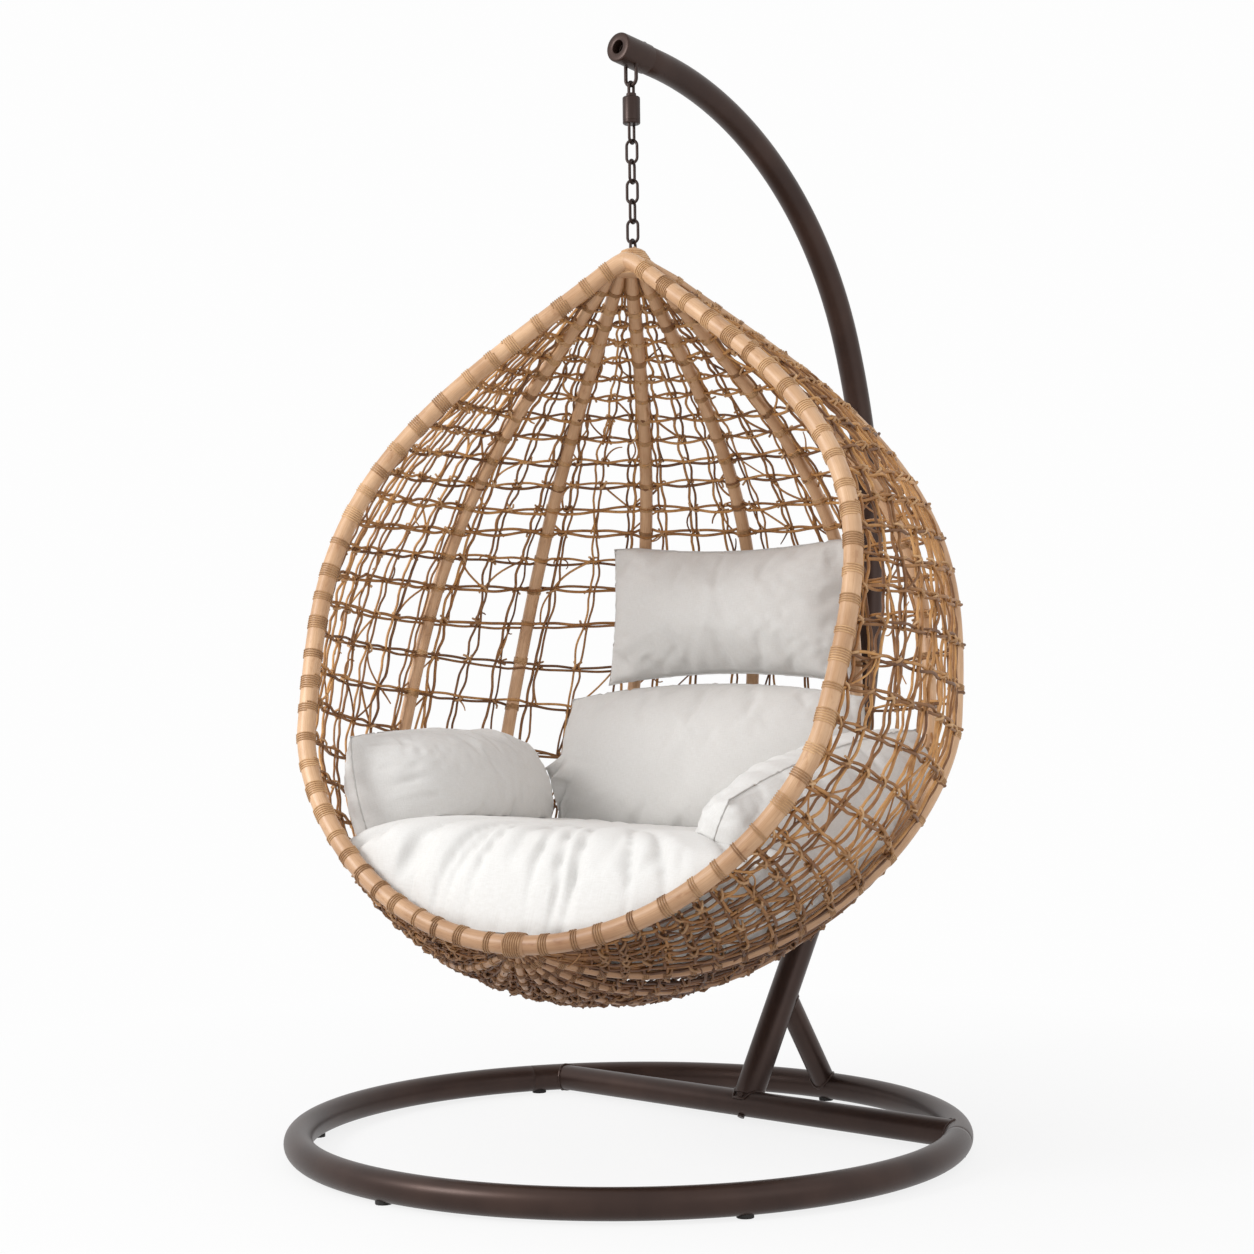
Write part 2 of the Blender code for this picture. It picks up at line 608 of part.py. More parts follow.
def axis_distance(point):
    offset = point - BODY_MIDDLE
    return (offset - POLE_AXIS * offset.dot(POLE_AXIS)).length


RIM_CROWN = surface_point(0.0, 0.0)
RIM_BASE = surface_point(0.0, math.pi)
HUB_TOP = RIM_CROWN.z + HUB_SEAT * RIM_ROD + HUB_PLATE_HEIGHT
BASKET_FLOOR = BASKET_PIVOT_HEIGHT + ROD_STEP + CHAIN_ROD - HUB_TOP - BASKET_EYE_HEIGHT
NET_STEP = (NET_END - NET_START) / NET_ROWS
RIB_SAG = BODY_RADIUS * (1.0 - math.cos(NET_STEP * RIB_RUN))
CUSHION_STANDOFF = RIB_ROD + RIB_SAG + SOFT_GAP
NET_ANGLES = [NET_START + NET_STEP * k for k in range(NET_ROWS + 1)]
RIB_SIDES = [RIB_SPREAD * k for k in range(-RIBS_EACH_SIDE, RIBS_EACH_SIDE + 1)]


def rib_radius(point):
    """Full size where there is room, and drawn to a thin end where the ribs gather."""
    return min(RIB_ROD, axis_distance(point) * RIB_SPREAD / 2 - GAP)


# ---- basket frame ----
def rim(basket, cane, grow=0.0):
    half = RIM_SEGMENTS // 2
    right = [surface_point(math.pi / 2, math.pi * k / half) for k in range(half + 1)]
    left = [surface_point(-math.pi / 2, math.pi * k / half) for k in range(half - 1, 0, -1)]
    bm = rod_mesh(right + left, OUTWARD, RIM_ROD + grow, TUBE_SIDES, closed=True)
    if grow:
        return guide(piece("rim_cutter", bm, cane, basket))
    return piece("rim_tube", bm, cane, basket)


def apex_hub(basket, cane, rim_shape):
    """Block under the eye where the ribs gather behind the rim's top, and its cutter."""
    shapes = []
    for name, grow in (("apex_hub", 0.0), ("apex_cutter", GAP)):
        outline = [(HUB_TOP - HUB_HEIGHT - grow, HUB_RADIUS + grow),
                   (HUB_TOP - HUB_PLATE_HEIGHT, HUB_RADIUS + grow),
                   (HUB_TOP + grow, HUB_RADIUS / 2)]
        shapes.append(piece(name, turned_mesh(Vector(), Z_AXIS, X_AXIS, outline), cane, basket))
    cut(shapes[0], rim_shape)
    return shapes[0], guide(shapes[1])


def foot_hub(basket, cane, rim_shape):
    """Block behind the rim's lowest point where the ribs gather again, and its cutter."""
    inside = surface_point(0.0, NET_END) - RIM_BASE
    normal = inside.cross(X_AXIS).normalized()
    shapes = []
    for name, grow in (("foot_hub", 0.0), ("foot_cutter", GAP)):
        half = RIM_ROD + grow
        outline = [(-half, HUB_RADIUS + grow), (half, HUB_RADIUS + grow)]
        shapes.append(piece(name, turned_mesh(RIM_BASE, normal, X_AXIS, outline), cane, basket))
    cut(shapes[0], rim_shape)
    return shapes[0], guide(shapes[1])


def ribs(basket, cane, hubs):
    lead = [NET_START * share for share in (0.3, 0.65)]
    tail = [math.pi - (math.pi - NET_END) * share for share in (0.65, 0.3)]
    for number, side in enumerate(RIB_SIDES, 1):
        points = [surface_point(side, a) for a in lead + NET_ANGLES + tail]
        out = OUTWARD * math.cos(side) + X_AXIS * math.sin(side)
        normal = POLE_AXIS.cross(out)
        bm = rod_mesh(points, normal, [rib_radius(p) for p in points])
        rib = piece(f"rib_{number}", bm, cane, basket)
        for hub in hubs:
            cut(rib, hub)


def edge_angle(side, rod, towards, along):
    """Angle of a panel's edge beside a rod, with room for the panel's own thickness."""
    centre = surface_point(side, along)
    away = (surface_point(side + (towards - side) / 4, along) - centre).normalized()
    square = X_AXIS * math.cos(side) - OUTWARD * math.sin(side)
    tilt = math.sqrt(max(1.0 - away.dot(square) ** 2, 0.0))
    room = rod(centre) + NET_GAP + NET_THICKNESS / 2 * tilt
    return side + math.copysign(room / axis_distance(centre), towards - side)


def net_corners(left, right, columns):
    """Rows of points between two rods, each given by its angle and its reach to the side."""
    rows = []
    for along in NET_ANGLES:
        start = edge_angle(*left, right[0], along)
        span = edge_angle(*right, left[0], along) - start
        rows.append([surface_point(start + span * k / columns, along)
                     for k in range(columns + 1)])
    return rows


def net_panel(name, left, right, columns, basket, weave):
    """Woven panel between two rods: bands of even width round open cells."""
    bm = bmesh.new()
    rows = [[bm.verts.new(p) for p in row] for row in net_corners(left, right, columns)]
    cells = []
    for low, high in zip(rows, rows[1:]):
        for k in range(columns):
            cells.append(bm.faces.new((low[k], low[k + 1], high[k + 1], high[k])))
    wide = [f for f in cells if min(e.calc_length() for e in f.edges) > 3 * NET_STRAND]
    bm.normal_update()
    bmesh.ops.inset_individual(bm, faces=wide, thickness=NET_STRAND, use_even_offset=True)
    bmesh.ops.delete(bm, geom=wide, context="FACES")
    panel = piece(name, bm, weave, basket)
    shell = panel.modifiers.new("thickness", "SOLIDIFY")
    shell.thickness = NET_THICKNESS
    shell.offset = 0.0


def rib_flat(point):
    """From a rib's axis to its flat side."""
    return rib_radius(point) * math.cos(math.pi / ROD_SIDES)


def rim_flat(_point):
    return RIM_ROD * math.cos(math.pi / TUBE_SIDES)


def net(basket, weave):
    rods = [(side, rib_flat) for side in RIB_SIDES]
    rods = [(-math.pi / 2, rim_flat)] + rods + [(math.pi / 2, rim_flat)]
    last = len(rods) - 2
    for k in range(last + 1):
        columns = SIDE_NET_COLUMNS if k in (0, last) else RIB_NET_COLUMNS
        net_panel(f"net_panel_{k + 1}", rods[k], rods[k + 1], columns, basket, weave)


def basket_eye(basket, dark):
    """Steel eye that stands on the apex hub and hangs in the last link."""
    points = [Vector((0.0, p.x, HUB_TOP + GAP - p.z))
              for p in hairpin(BASKET_EYE_WIDTH - 2 * CHAIN_ROD,
                               BASKET_EYE_HEIGHT - CHAIN_ROD - GAP, LINK_ARC_STEPS)]
    piece("basket_eye", rod_mesh(points, X_AXIS, CHAIN_ROD), dark, basket)


# ---- cushions ----
def box_directions(half, counts):
    """A box of the cushion's size with its faces divided, as directions to shape it along."""
    bm = bmesh.new()
    bmesh.ops.create_cube(bm, size=2.0)
    for axis, count in enumerate(counts):
        normal = [0.0, 0.0, 0.0]
        normal[axis] = 1.0
        for k in range(1, count):
            spot = [0.0, 0.0, 0.0]
            spot[axis] = 2.0 * k / count - 1.0
            bmesh.ops.bisect_plane(bm, geom=bm.verts[:] + bm.edges[:] + bm.faces[:],
                                   plane_co=spot, plane_no=normal)
    for v in bm.verts:
        v.co = Vector([c * h for c, h in zip(v.co, half)])
    return bm


def pillow_reach(direction, half):
    """Distance from a cushion's centre to its skin: crowned faces and drawn-in sides."""
    x, y, z = (abs(c) / h for c, h in zip(direction, half))
    outline = (x ** CUSHION_SQUARENESS + y ** CUSHION_SQUARENESS) ** (1.0 / CUSHION_SQUARENESS)
    corner = 2.0 * x * y / max(x * x + y * y, 1e-9)
    outline *= 1.0 + CUSHION_DRAW * (1.0 - corner)
    return (outline ** CUSHION_CROWN + z ** CUSHION_CROWN) ** (-1.0 / CUSHION_CROWN)


def basket_reach(centre, direction, ease):
    """Distance from a cushion's centre to the basket's inside or to the plane of its opening."""
    depth = CUSHION_STANDOFF + ease
    wall = (ray_to_surface(direction, depth, centre) - centre).length
    closing = -direction.dot(OUTWARD)
    if closing <= 0.0:
        return wall
    clear = (centre - RIM_FOOT).dot(OUTWARD) - RIM_ROD - CUSHION_RIM_CLEARANCE
    return min(wall, clear / closing)


def cushion(name, half, counts, centre, turn, ease, basket, linen, others=()):
    """A cushion pressed into the basket and against `others`; returns a larger copy as cutter."""
    centre = Vector(centre)
    bm = box_directions(half, counts)
    for v in bm.verts:
        direction = v.co.normalized()
        aim = turn @ direction
        reach = min(pillow_reach(direction, half), basket_reach(centre, aim, ease))
        v.co = centre + aim * reach
    bmesh.ops.triangulate(bm, faces=bm.faces)
    bmesh.ops.recalc_face_normals(bm, faces=bm.faces)
    bm.normal_update()
    larger = bm.copy()
    for v in larger.verts:
        v.co += v.normal * SOFT_GAP
    soft = piece(name, bm, linen, basket)
    for other in others:
        cut(soft, other)
    return guide(piece(name + "_shape", larger, linen, basket))


def upright(azimuth, lean):
    """Turn that stands a cushion against the wall at an azimuth from the basket's back."""
    return (Matrix.Rotation(-azimuth, 3, "Z") @ Matrix.Rotation(lean, 3, "X")
            @ Matrix.Rotation(math.pi / 2, 3, "X"))


def cushions(basket, linen):
    seat = cushion("seat_cushion", SEAT_HALF, (12, 10, 3), SEAT_CENTRE, Matrix.Identity(3),
                   SEAT_EASE, basket, linen)
    shapes = [seat]
    for name, side in (("left_bolster", -1.0), ("right_bolster", 1.0)):
        azimuth = side * BOLSTER_AZIMUTH
        centre = (BOLSTER_DISTANCE * math.sin(azimuth), BOLSTER_DISTANCE * math.cos(azimuth),
                  BOLSTER_HEIGHT)
        shapes.append(cushion(name, BOLSTER_HALF, (10, 6, 3), centre,
                              upright(azimuth, BOLSTER_LEAN), BOLSTER_EASE, basket, linen,
                              [seat]))
    back = cushion("back_cushion", BACK_HALF, (10, 6, 3), BACK_CENTRE, upright(0.0, BACK_LEAN),
                   UPPER_EASE, basket, linen, shapes)
    cushion("head_pillow", PILLOW_HALF, (10, 6, 3), PILLOW_CENTRE, upright(0.0, PILLOW_LEAN),
            UPPER_EASE, basket, linen, [back])


# ---- the whole chair ----
def build():
    clear_scene()
    steel = material("satin_brown_steel", (0.048, 0.026, 0.020), 0.38, 0.4)
    dark = material("dark_brown_fittings", (0.035, 0.020, 0.016), 0.42, 0.6)
    bare = material("bearing_steel", (0.45, 0.45, 0.46), 0.3, 1.0)
    rubber = material("black_rubber", (0.02, 0.02, 0.02), 0.8)
    cane = material("tan_cane", (0.58, 0.33, 0.14), 0.5)
    weave = material("woven_cane", (0.42, 0.22, 0.085), 0.6)
    linen = material("off_white_linen", (0.78, 0.76, 0.72), 0.9)
    root = empty("chair", (0.0, PLAN_SHIFT, 0.0))
    hung = empty("hook_axis", (0.0, HOOK_BACK, 0.0), BASKET_YAW, root)
    basket = empty("basket_bottom", (0.0, 0.0, BASKET_FLOOR), 0.0, hung)
    ring_shape = ring_cutter(root, steel, GAP)
    base_ring(root, steel)
    ring_spigots(root, steel)
    glides(root, rubber, ring_shape)
    cross, pole = stand_frame(root, steel, ring_shape)
    foot_fixing(root, steel, cross)
    arm, fitting = arm_and_fitting(root, steel)
    cross_bolt("arm_bolt", pole_point(POLE_LENGTH - POLE_OVERLAP / 2), POLE_RADIUS,
               (arm, pole), root, dark)
    hanging_eye(root, dark, fitting)
    swivel_top(root, dark)
    swivel_body(hung, dark, bare)
    chain_links(hung, dark)
    rim_shape = rim(basket, cane, GAP)
    rim(basket, cane)
    hubs = [apex_hub(basket, cane, rim_shape)[1], foot_hub(basket, cane, rim_shape)[1]]
    ribs(basket, cane, hubs)
    net(basket, weave)
    basket_eye(basket, dark)
    cushions(basket, linen)


build()
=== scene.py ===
"""Looks of a hanging egg chair: steel stand, swivel and chain, woven cane basket, linen cushions.

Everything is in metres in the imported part's own frame. The basket's surface repeats the few
numbers that shape its solids, and other places come from the frame's boxes and joints.
"""
import json
import math
import random

import bmesh
import bpy
import numpy as np
from mathutils import Matrix, Vector, noise
from mathutils.bvhtree import BVHTree


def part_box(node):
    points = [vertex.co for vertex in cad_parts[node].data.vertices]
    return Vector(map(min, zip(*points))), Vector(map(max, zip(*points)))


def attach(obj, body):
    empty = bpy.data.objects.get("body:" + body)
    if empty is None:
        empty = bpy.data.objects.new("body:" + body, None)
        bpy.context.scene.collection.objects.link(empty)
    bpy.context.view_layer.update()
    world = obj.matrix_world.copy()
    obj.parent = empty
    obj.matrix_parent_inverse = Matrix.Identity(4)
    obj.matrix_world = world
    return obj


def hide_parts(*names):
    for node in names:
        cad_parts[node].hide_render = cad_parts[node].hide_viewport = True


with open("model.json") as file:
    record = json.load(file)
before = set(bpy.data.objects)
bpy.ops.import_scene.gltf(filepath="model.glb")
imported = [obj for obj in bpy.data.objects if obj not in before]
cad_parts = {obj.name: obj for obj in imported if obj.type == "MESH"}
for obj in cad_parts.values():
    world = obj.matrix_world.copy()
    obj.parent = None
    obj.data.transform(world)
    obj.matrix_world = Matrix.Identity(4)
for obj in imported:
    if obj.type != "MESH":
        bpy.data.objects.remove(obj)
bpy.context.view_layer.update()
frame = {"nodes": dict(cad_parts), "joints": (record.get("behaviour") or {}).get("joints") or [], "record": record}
scene = bpy.context.scene


# ---- base ring ----
# Two bent lengths of round steel tube that meet just in front of the cross tube. They are
# sleeved on short spigots, powder coated dark brown, and stand on small rubber glides.
TUBE_RADIUS = 0.024
RING_RADIUS = 0.545
GLIDE_HEIGHT = 0.003
CROSS_OFFSET = 0.31          # of the cross tube behind the ring's centre
RING_JOINT_AHEAD = 0.06      # the ring's joints lie this far in front of the cross tube
RING_JOINT_GAP = 0.0004
TUBE_EDGE = 0.0007           # soft edge at the ends of the ring's tubes
BEND_STEP = math.radians(1.5)
TUBE_SIDES = 40
SHARP_ANGLE = math.radians(35)
X_AXIS = Vector((1.0, 0.0, 0.0))
Y_AXIS = Vector((0.0, 1.0, 0.0))
Z_AXIS = Vector((0.0, 0.0, 1.0))
WHITE = (1.0, 1.0, 1.0, 1.0)


def node(tree, kind, inputs=None, **settings):
    """A shader node with its settings, and its sockets given values or linked to others."""
    made = tree.nodes.new(kind)
    for key, value in settings.items():
        setattr(made, key, value)
    for key, value in (inputs or {}).items():
        if isinstance(value, bpy.types.NodeSocket):
            tree.links.new(value, made.inputs[key])
        else:
            made.inputs[key].default_value = value
    return made


def effect(name, inputs, outputs):
    """An empty node group with named sockets; returns it, its inputs and its output node."""
    group = bpy.data.node_groups.new(name, "ShaderNodeTree")
    for in_out, sockets in (("INPUT", inputs), ("OUTPUT", outputs)):
        for label, kind in sockets.items():
            group.interface.new_socket(name=label, in_out=in_out, socket_type="NodeSocket" + kind)
    entry = group.nodes.new("NodeGroupInput")
    return group, entry.outputs, group.nodes.new("NodeGroupOutput")


def put_out(group, exit_node, **results):
    for label, socket in results.items():
        group.links.new(socket, exit_node.inputs[label])


def placed(tree, group, **inputs):
    """An effect placed in a material with that material's values; returns its outputs."""
    given = {key.replace("_", " "): value for key, value in inputs.items()}
    return node(tree, "ShaderNodeGroup", given, node_tree=group).outputs


def noise_value(tree, vector, scale, detail=3.0, roughness=0.55):
    return node(tree, "ShaderNodeTexNoise", {"Vector": vector, "Scale": scale, "Detail": detail,
                                             "Roughness": roughness}).outputs["Fac"]


def mixed(tree, factor, first, second, blend="MIX"):
    """Colours mixed by `factor`."""
    made = node(tree, "ShaderNodeMix", data_type="RGBA", blend_type=blend)
    for label, value in (("Factor", factor), ("A", first), ("B", second)):
        socket = next(s for s in made.inputs if s.name == label and s.enabled)
        if isinstance(value, bpy.types.NodeSocket):
            tree.links.new(value, socket)
        else:
            socket.default_value = value
    return next(s for s in made.outputs if s.enabled)


def stretched_noise(tree, vector, scale, detail, roughness):
    """Noise stretched by its own scale along each axis."""
    stretch = node(tree, "ShaderNodeMapping", {"Vector": vector, "Scale": scale})
    return noise_value(tree, stretch.outputs["Vector"], 1.0, detail, roughness)


def spread(tree, value, low, high, new_low=0.0, new_high=1.0):
    """A value's range low..high mapped to new_low..new_high, and held at its ends."""
    return node(tree, "ShaderNodeMapRange", {"Value": value, "From Min": low, "From Max": high,
                                             "To Min": new_low, "To Max": new_high}
                ).outputs["Result"]


def darkened(tree, colour, mask, tone, share=1.0):
    """A colour multiplied by a dark tone where the mask is 0."""
    return mixed(tree, share, colour, mixed(tree, mask, tone, WHITE), "MULTIPLY")


def bump(tree, height, distance):
    return node(tree, "ShaderNodeBump", {"Height": height, "Distance": distance}
                ).outputs["Normal"]


def new_material(name, **values):
    """A principled material with its plain values; returns it, its tree, shader and places."""
    made = bpy.data.materials.new(name)
    made.use_nodes = True
    shader = made.node_tree.nodes["Principled BSDF"]
    for key, value in values.items():
        shader.inputs[key.replace("_", " ")].default_value = value
    return made, made.node_tree, shader, node(made.node_tree, "ShaderNodeTexCoord").outputs


def feed(tree, shader, **sockets):
    for key, socket in sockets.items():
        tree.links.new(socket, shader.inputs[key.replace("_", " ")])


# colour that drifts softly between two tones
soft_tone, given, result = effect(
    "soft_tone", {"Vector": "Vector", "Scale": "Float", "Dark": "Color", "Light": "Color"},
    {"Color": "Color"})
drift = noise_value(soft_tone, given["Vector"], given["Scale"])
put_out(soft_tone, result, Color=mixed(soft_tone, spread(soft_tone, drift, 0.3, 0.7),
                                       given["Dark"], given["Light"]))

# fine grain in the gloss and the surface
fine_grain, given, result = effect(
    "fine_grain", {"Vector": "Vector", "Scale": "Float", "Smooth": "Float", "Rough": "Float",
                   "Depth": "Float"}, {"Roughness": "Float", "Normal": "Vector"})
grain = noise_value(fine_grain, given["Vector"], given["Scale"])
put_out(fine_grain, result,
        Roughness=spread(fine_grain, grain, 0.2, 0.8, given["Smooth"], given["Rough"]),
        Normal=bump(fine_grain, grain, given["Depth"]))


def grained(name, dark, light, clouds, smooth, rough, scale, depth, **values):
    """Material of one colour that drifts a little, with a fine grain."""
    made, tree, shader, place = new_material(name, **values)
    tone = placed(tree, soft_tone, Vector=place["Object"], Scale=clouds, Dark=(*dark, 1.0),
                  Light=(*light, 1.0))
    grains = placed(tree, fine_grain, Vector=place["Object"], Scale=scale, Smooth=smooth,
                    Rough=rough, Depth=depth)
    feed(tree, shader, Base_Color=tone["Color"], Roughness=grains["Roughness"],
         Normal=grains["Normal"])
    return made


def rod(bm, points, radii, reference, sides, closed=False):
    """Round rod along `points`, a grid rolled up; `reference` is never along the rod.

    Its UVs are metres along it and turns round it.
    """
    uv = bm.loops.layers.uv.verify()
    rows = len(points) if closed else len(points) - 1
    radii = radii if isinstance(radii, (list, tuple)) else [radii] * len(points)
    grid = bmesh.ops.create_grid(bm, x_segments=rows, y_segments=sides, size=1.0, calc_uvs=True)
    verts = grid["verts"]
    spots, distance = [], 0.0
    for k in range(rows + 1):
        point = points[k % len(points)]
        before = points[k - 1] if k or closed else point
        after = points[(k + 1) % len(points)] if k < rows or closed else point
        tangent = (after - before).normalized()
        side = tangent.cross(reference).normalized()
        distance += (point - before).length if k else 0.0
        spots.append((point, side, side.cross(tangent), radii[k % len(points)], distance))
    faces = {face for vert in verts for face in vert.link_faces}
    for face in faces:
        for loop in face.loops:
            along, turn = loop[uv].uv
            loop[uv].uv = (spots[round(along * rows)][4], turn)
    for vert in verts:
        point, side, up, radius, _ = spots[round((vert.co.x + 1.0) / 2.0 * rows)]
        angle = math.tau * (round((vert.co.y + 1.0) / 2.0 * sides) % sides) / sides
        vert.co = point + (side * math.cos(angle) + up * math.sin(angle)) * radius
    bmesh.ops.remove_doubles(bm, verts=verts, dist=1e-6)
    if not closed:
        open_edges = [edge for edge in bm.edges if edge.is_boundary]
        bmesh.ops.holes_fill(bm, edges=open_edges, sides=sides)


def soft_ends(points, radius, edge):
    """A rod's points and radii with a small chamfer added at both ends."""
    first = (points[1] - points[0]).normalized()
    last = (points[-2] - points[-1]).normalized()
    path = ([points[0], points[0] + first * edge * 0.3, points[0] + first * edge]
            + points[1:-1] + [points[-1] + last * edge, points[-1] + last * edge * 0.3, points[-1]])
    radii = [radius - edge, radius - edge * 0.3] + [radius] * (len(path) - 4)
    return path, radii + [radius - edge * 0.3, radius - edge]


def show(name, mesh, finish, body, slot, *replaced):
    """A mesh as a piece that rides on a body and stands for the CAD nodes named."""
    mesh.materials.clear()
    mesh.materials.append(finish)
    mesh.shade_smooth()
    made = bpy.data.objects.new(name, mesh)
    scene.collection.objects.link(made)
    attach(made, body)
    if replaced:
        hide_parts(*replaced)
    return made


def add_piece(name, bm, finish, body, slot, *replaced):
    """A piece of hard surfaces, smooth but for its edges."""
    bmesh.ops.recalc_face_normals(bm, faces=bm.faces)
    mesh = bpy.data.meshes.new(name)
    bm.to_mesh(mesh)
    bm.free()
    show(name, mesh, finish, body, slot, *replaced)
    mesh.set_sharp_from_angle(angle=SHARP_ANGLE)


def add_rod(name, points, radius, reference, finish, body, slot, *replaced, closed=False,
            sides=TUBE_SIDES, edge=0.0):
    """A rod as a piece of its own."""
    bm = bmesh.new()
    radii = radius
    if edge:
        points, radii = soft_ends(points, radius, edge)
    rod(bm, points, radii, reference, sides, closed)
    add_piece(name, bm, finish, body, slot, *replaced)


def finish_nodes(slot_name, finish):
    """The CAD nodes of a material slot get a material, also those that pieces stand for."""
    for part in frame["record"]["subparts"]:
        if part["material_slot"] == slot_name:
            shown = frame["nodes"][part["node"]].data.materials
            shown.clear()
            shown.append(finish)


def on_ring(angle):
    """Point of the base ring's centreline."""
    flat = Vector((math.cos(angle), math.sin(angle), 0.0)) * RING_RADIUS
    return ring_centre + flat + Z_AXIS * (GLIDE_HEIGHT + TUBE_RADIUS)


steel = grained("stand_powder_coat", (0.031, 0.015, 0.011), (0.050, 0.026, 0.019), 9.0,
                0.34, 0.46, 1100.0, 0.00006, Metallic=0.55, Coat_Weight=0.05,
                Coat_Roughness=0.28)
rubber = grained("glide_rubber", (0.016, 0.014, 0.013), (0.024, 0.021, 0.020), 40.0,
                 0.72, 0.86, 500.0, 0.00004)
finish_nodes("satin_brown_steel", steel)
finish_nodes("black_rubber", rubber)
stand_steel = (steel, "stand", "satin_brown_steel")

ring_centre = Vector((0.0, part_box("base_ring_front")[0].y + RING_RADIUS + TUBE_RADIUS, 0.0))
joint_angle = math.asin(CROSS_OFFSET / RING_RADIUS) - RING_JOINT_AHEAD / RING_RADIUS
joint_turn = RING_JOINT_GAP / 2 / RING_RADIUS
for name, start, end in (
        ("base_ring_rear", joint_angle, math.pi - joint_angle),
        ("base_ring_front", math.pi - joint_angle, math.tau + joint_angle)):
    start, end = start + joint_turn, end - joint_turn
    steps = round((end - start) / BEND_STEP)
    path = [on_ring(start + (end - start) * k / steps) for k in range(steps + 1)]
    add_rod(name + "_tube", path, TUBE_RADIUS, Z_AXIS, *stand_steel, name, edge=TUBE_EDGE)


# ---- cross bar, pole, brace and bowed arm ----
# Round steel tubes welded to the ring and to each other. The arm plugs into the leaning
# pole and bows over the basket in two bends of different radius.
CROSS_RADIUS = 0.023
POLE_LEAN = math.radians(31.6)
POLE_RADIUS = 0.026
POLE_LENGTH = 0.42
POLE_OVERLAP = 0.075         # of the arm inside the pole
POLE_EDGE = 0.0012
ARM_REAR_RADIUS = 1.194
ARM_REAR_TOP_ANGLE = math.radians(19.7)
ARM_CROWN_RADIUS = 0.644
ARM_TIP_ANGLE = math.radians(83.8)
ARM_STRAIGHT = 0.026
ARM_EDGE = 0.0008
BRACE_RADIUS = 0.021
BRACE_TOP = 0.215


def heading(lean):
    """Direction in the arm's plane: 0 is straight up, positive leans back."""
    return Vector((0.0, math.sin(lean), math.cos(lean)))


def pole_point(distance):
    return cross_centre + heading(POLE_LEAN) * distance


def bend(start, from_lean, to_lean, radius):
    """Points along a bend of the arm, after its start point."""
    steps = round((from_lean - to_lean) / BEND_STEP)
    leans = [from_lean + (to_lean - from_lean) * k / steps for k in range(1, steps + 1)]
    return [start + Vector((0.0, math.cos(lean) - math.cos(from_lean),
                            math.sin(from_lean) - math.sin(lean))) * radius for lean in leans]


cross_centre = ring_centre + Vector((0.0, CROSS_OFFSET, GLIDE_HEIGHT + TUBE_RADIUS))
cross_half = math.sqrt(RING_RADIUS ** 2 - CROSS_OFFSET ** 2)
reach = cross_half - TUBE_RADIUS / 2
add_rod("cross_bar", [cross_centre - X_AXIS * reach, cross_centre + X_AXIS * reach],
        CROSS_RADIUS, Z_AXIS, *stand_steel, "cross_tube")
add_rod("pole_tube", [pole_point(CROSS_RADIUS / 2), pole_point(POLE_LENGTH)], POLE_RADIUS,
        X_AXIS, *stand_steel, "lower_pole", edge=POLE_EDGE)
brace_foot = on_ring(math.pi / 2)
brace_axis = (pole_point(BRACE_TOP) - brace_foot).normalized()
add_rod("brace_bar", [brace_foot + brace_axis * TUBE_RADIUS / 2,
                      pole_point(BRACE_TOP) - brace_axis * POLE_RADIUS / 2],
        BRACE_RADIUS, X_AXIS, *stand_steel, "brace_tube")

arm_path = [pole_point(POLE_LENGTH - POLE_OVERLAP), pole_point(POLE_LENGTH)]
arm_path += bend(arm_path[-1], POLE_LEAN, -ARM_REAR_TOP_ANGLE, ARM_REAR_RADIUS)
arm_path += bend(arm_path[-1], -ARM_REAR_TOP_ANGLE, -ARM_TIP_ANGLE, ARM_CROWN_RADIUS)
tip_axis = heading(-ARM_TIP_ANGLE)
arm_path.append(arm_path[-1] + tip_axis * ARM_STRAIGHT)
add_rod("bowed_arm", arm_path, TUBE_RADIUS, X_AXIS, *stand_steel, "upper_arm",
        edge=ARM_EDGE)


# ---- weld beads ----
# Rippled rings of weld metal where each tube meets the one that it is welded to, under the
# same powder coat.
BEAD_RADIUS = 0.0026
BEAD_RIPPLE = 0.16
BEAD_POINTS = 72
BEAD_SIDES = 10
BEAD_WAVE = 0.37             # half ripples from one point to the next


def off_tube(start, axis, radius):
    """Function: how far a point lies outside a straight tube."""
    def distance(point):
        offset = point - start
        return (offset - axis * offset.dot(axis)).length - radius
    return distance


def off_ring(point):
    """How far a point lies outside the base ring's tube."""
    flat = Vector((point.x - ring_centre.x, point.y - ring_centre.y, 0.0)).length - RING_RADIUS
    return math.hypot(flat, point.z - GLIDE_HEIGHT - TUBE_RADIUS) - TUBE_RADIUS


def weld_bead(bm, start, axis, radius, reach, outside_by):
    """Bead round a tube, found by looking from `start` along the tube for what it meets."""
    side = axis.cross(X_AXIS if abs(axis.x) < 0.9 else Z_AXIS).normalized()
    up = side.cross(axis)
    points = []
    for n in range(BEAD_POINTS):
        a = math.tau * n / BEAD_POINTS
        line = start + (side * math.cos(a) + up * math.sin(a)) * radius
        near, far = 0.0, reach
        for _ in range(20):
            middle = (near + far) / 2
            if outside_by(line + axis * middle) > 0.0:
                near = middle
            else:
                far = middle
        points.append(line + axis * near)
    radii = [BEAD_RADIUS * (1.0 + BEAD_RIPPLE * math.sin(n * math.pi))
             for n in np.arange(BEAD_POINTS) * BEAD_WAVE]
    rod(bm, points, radii, axis, BEAD_SIDES, closed=True)


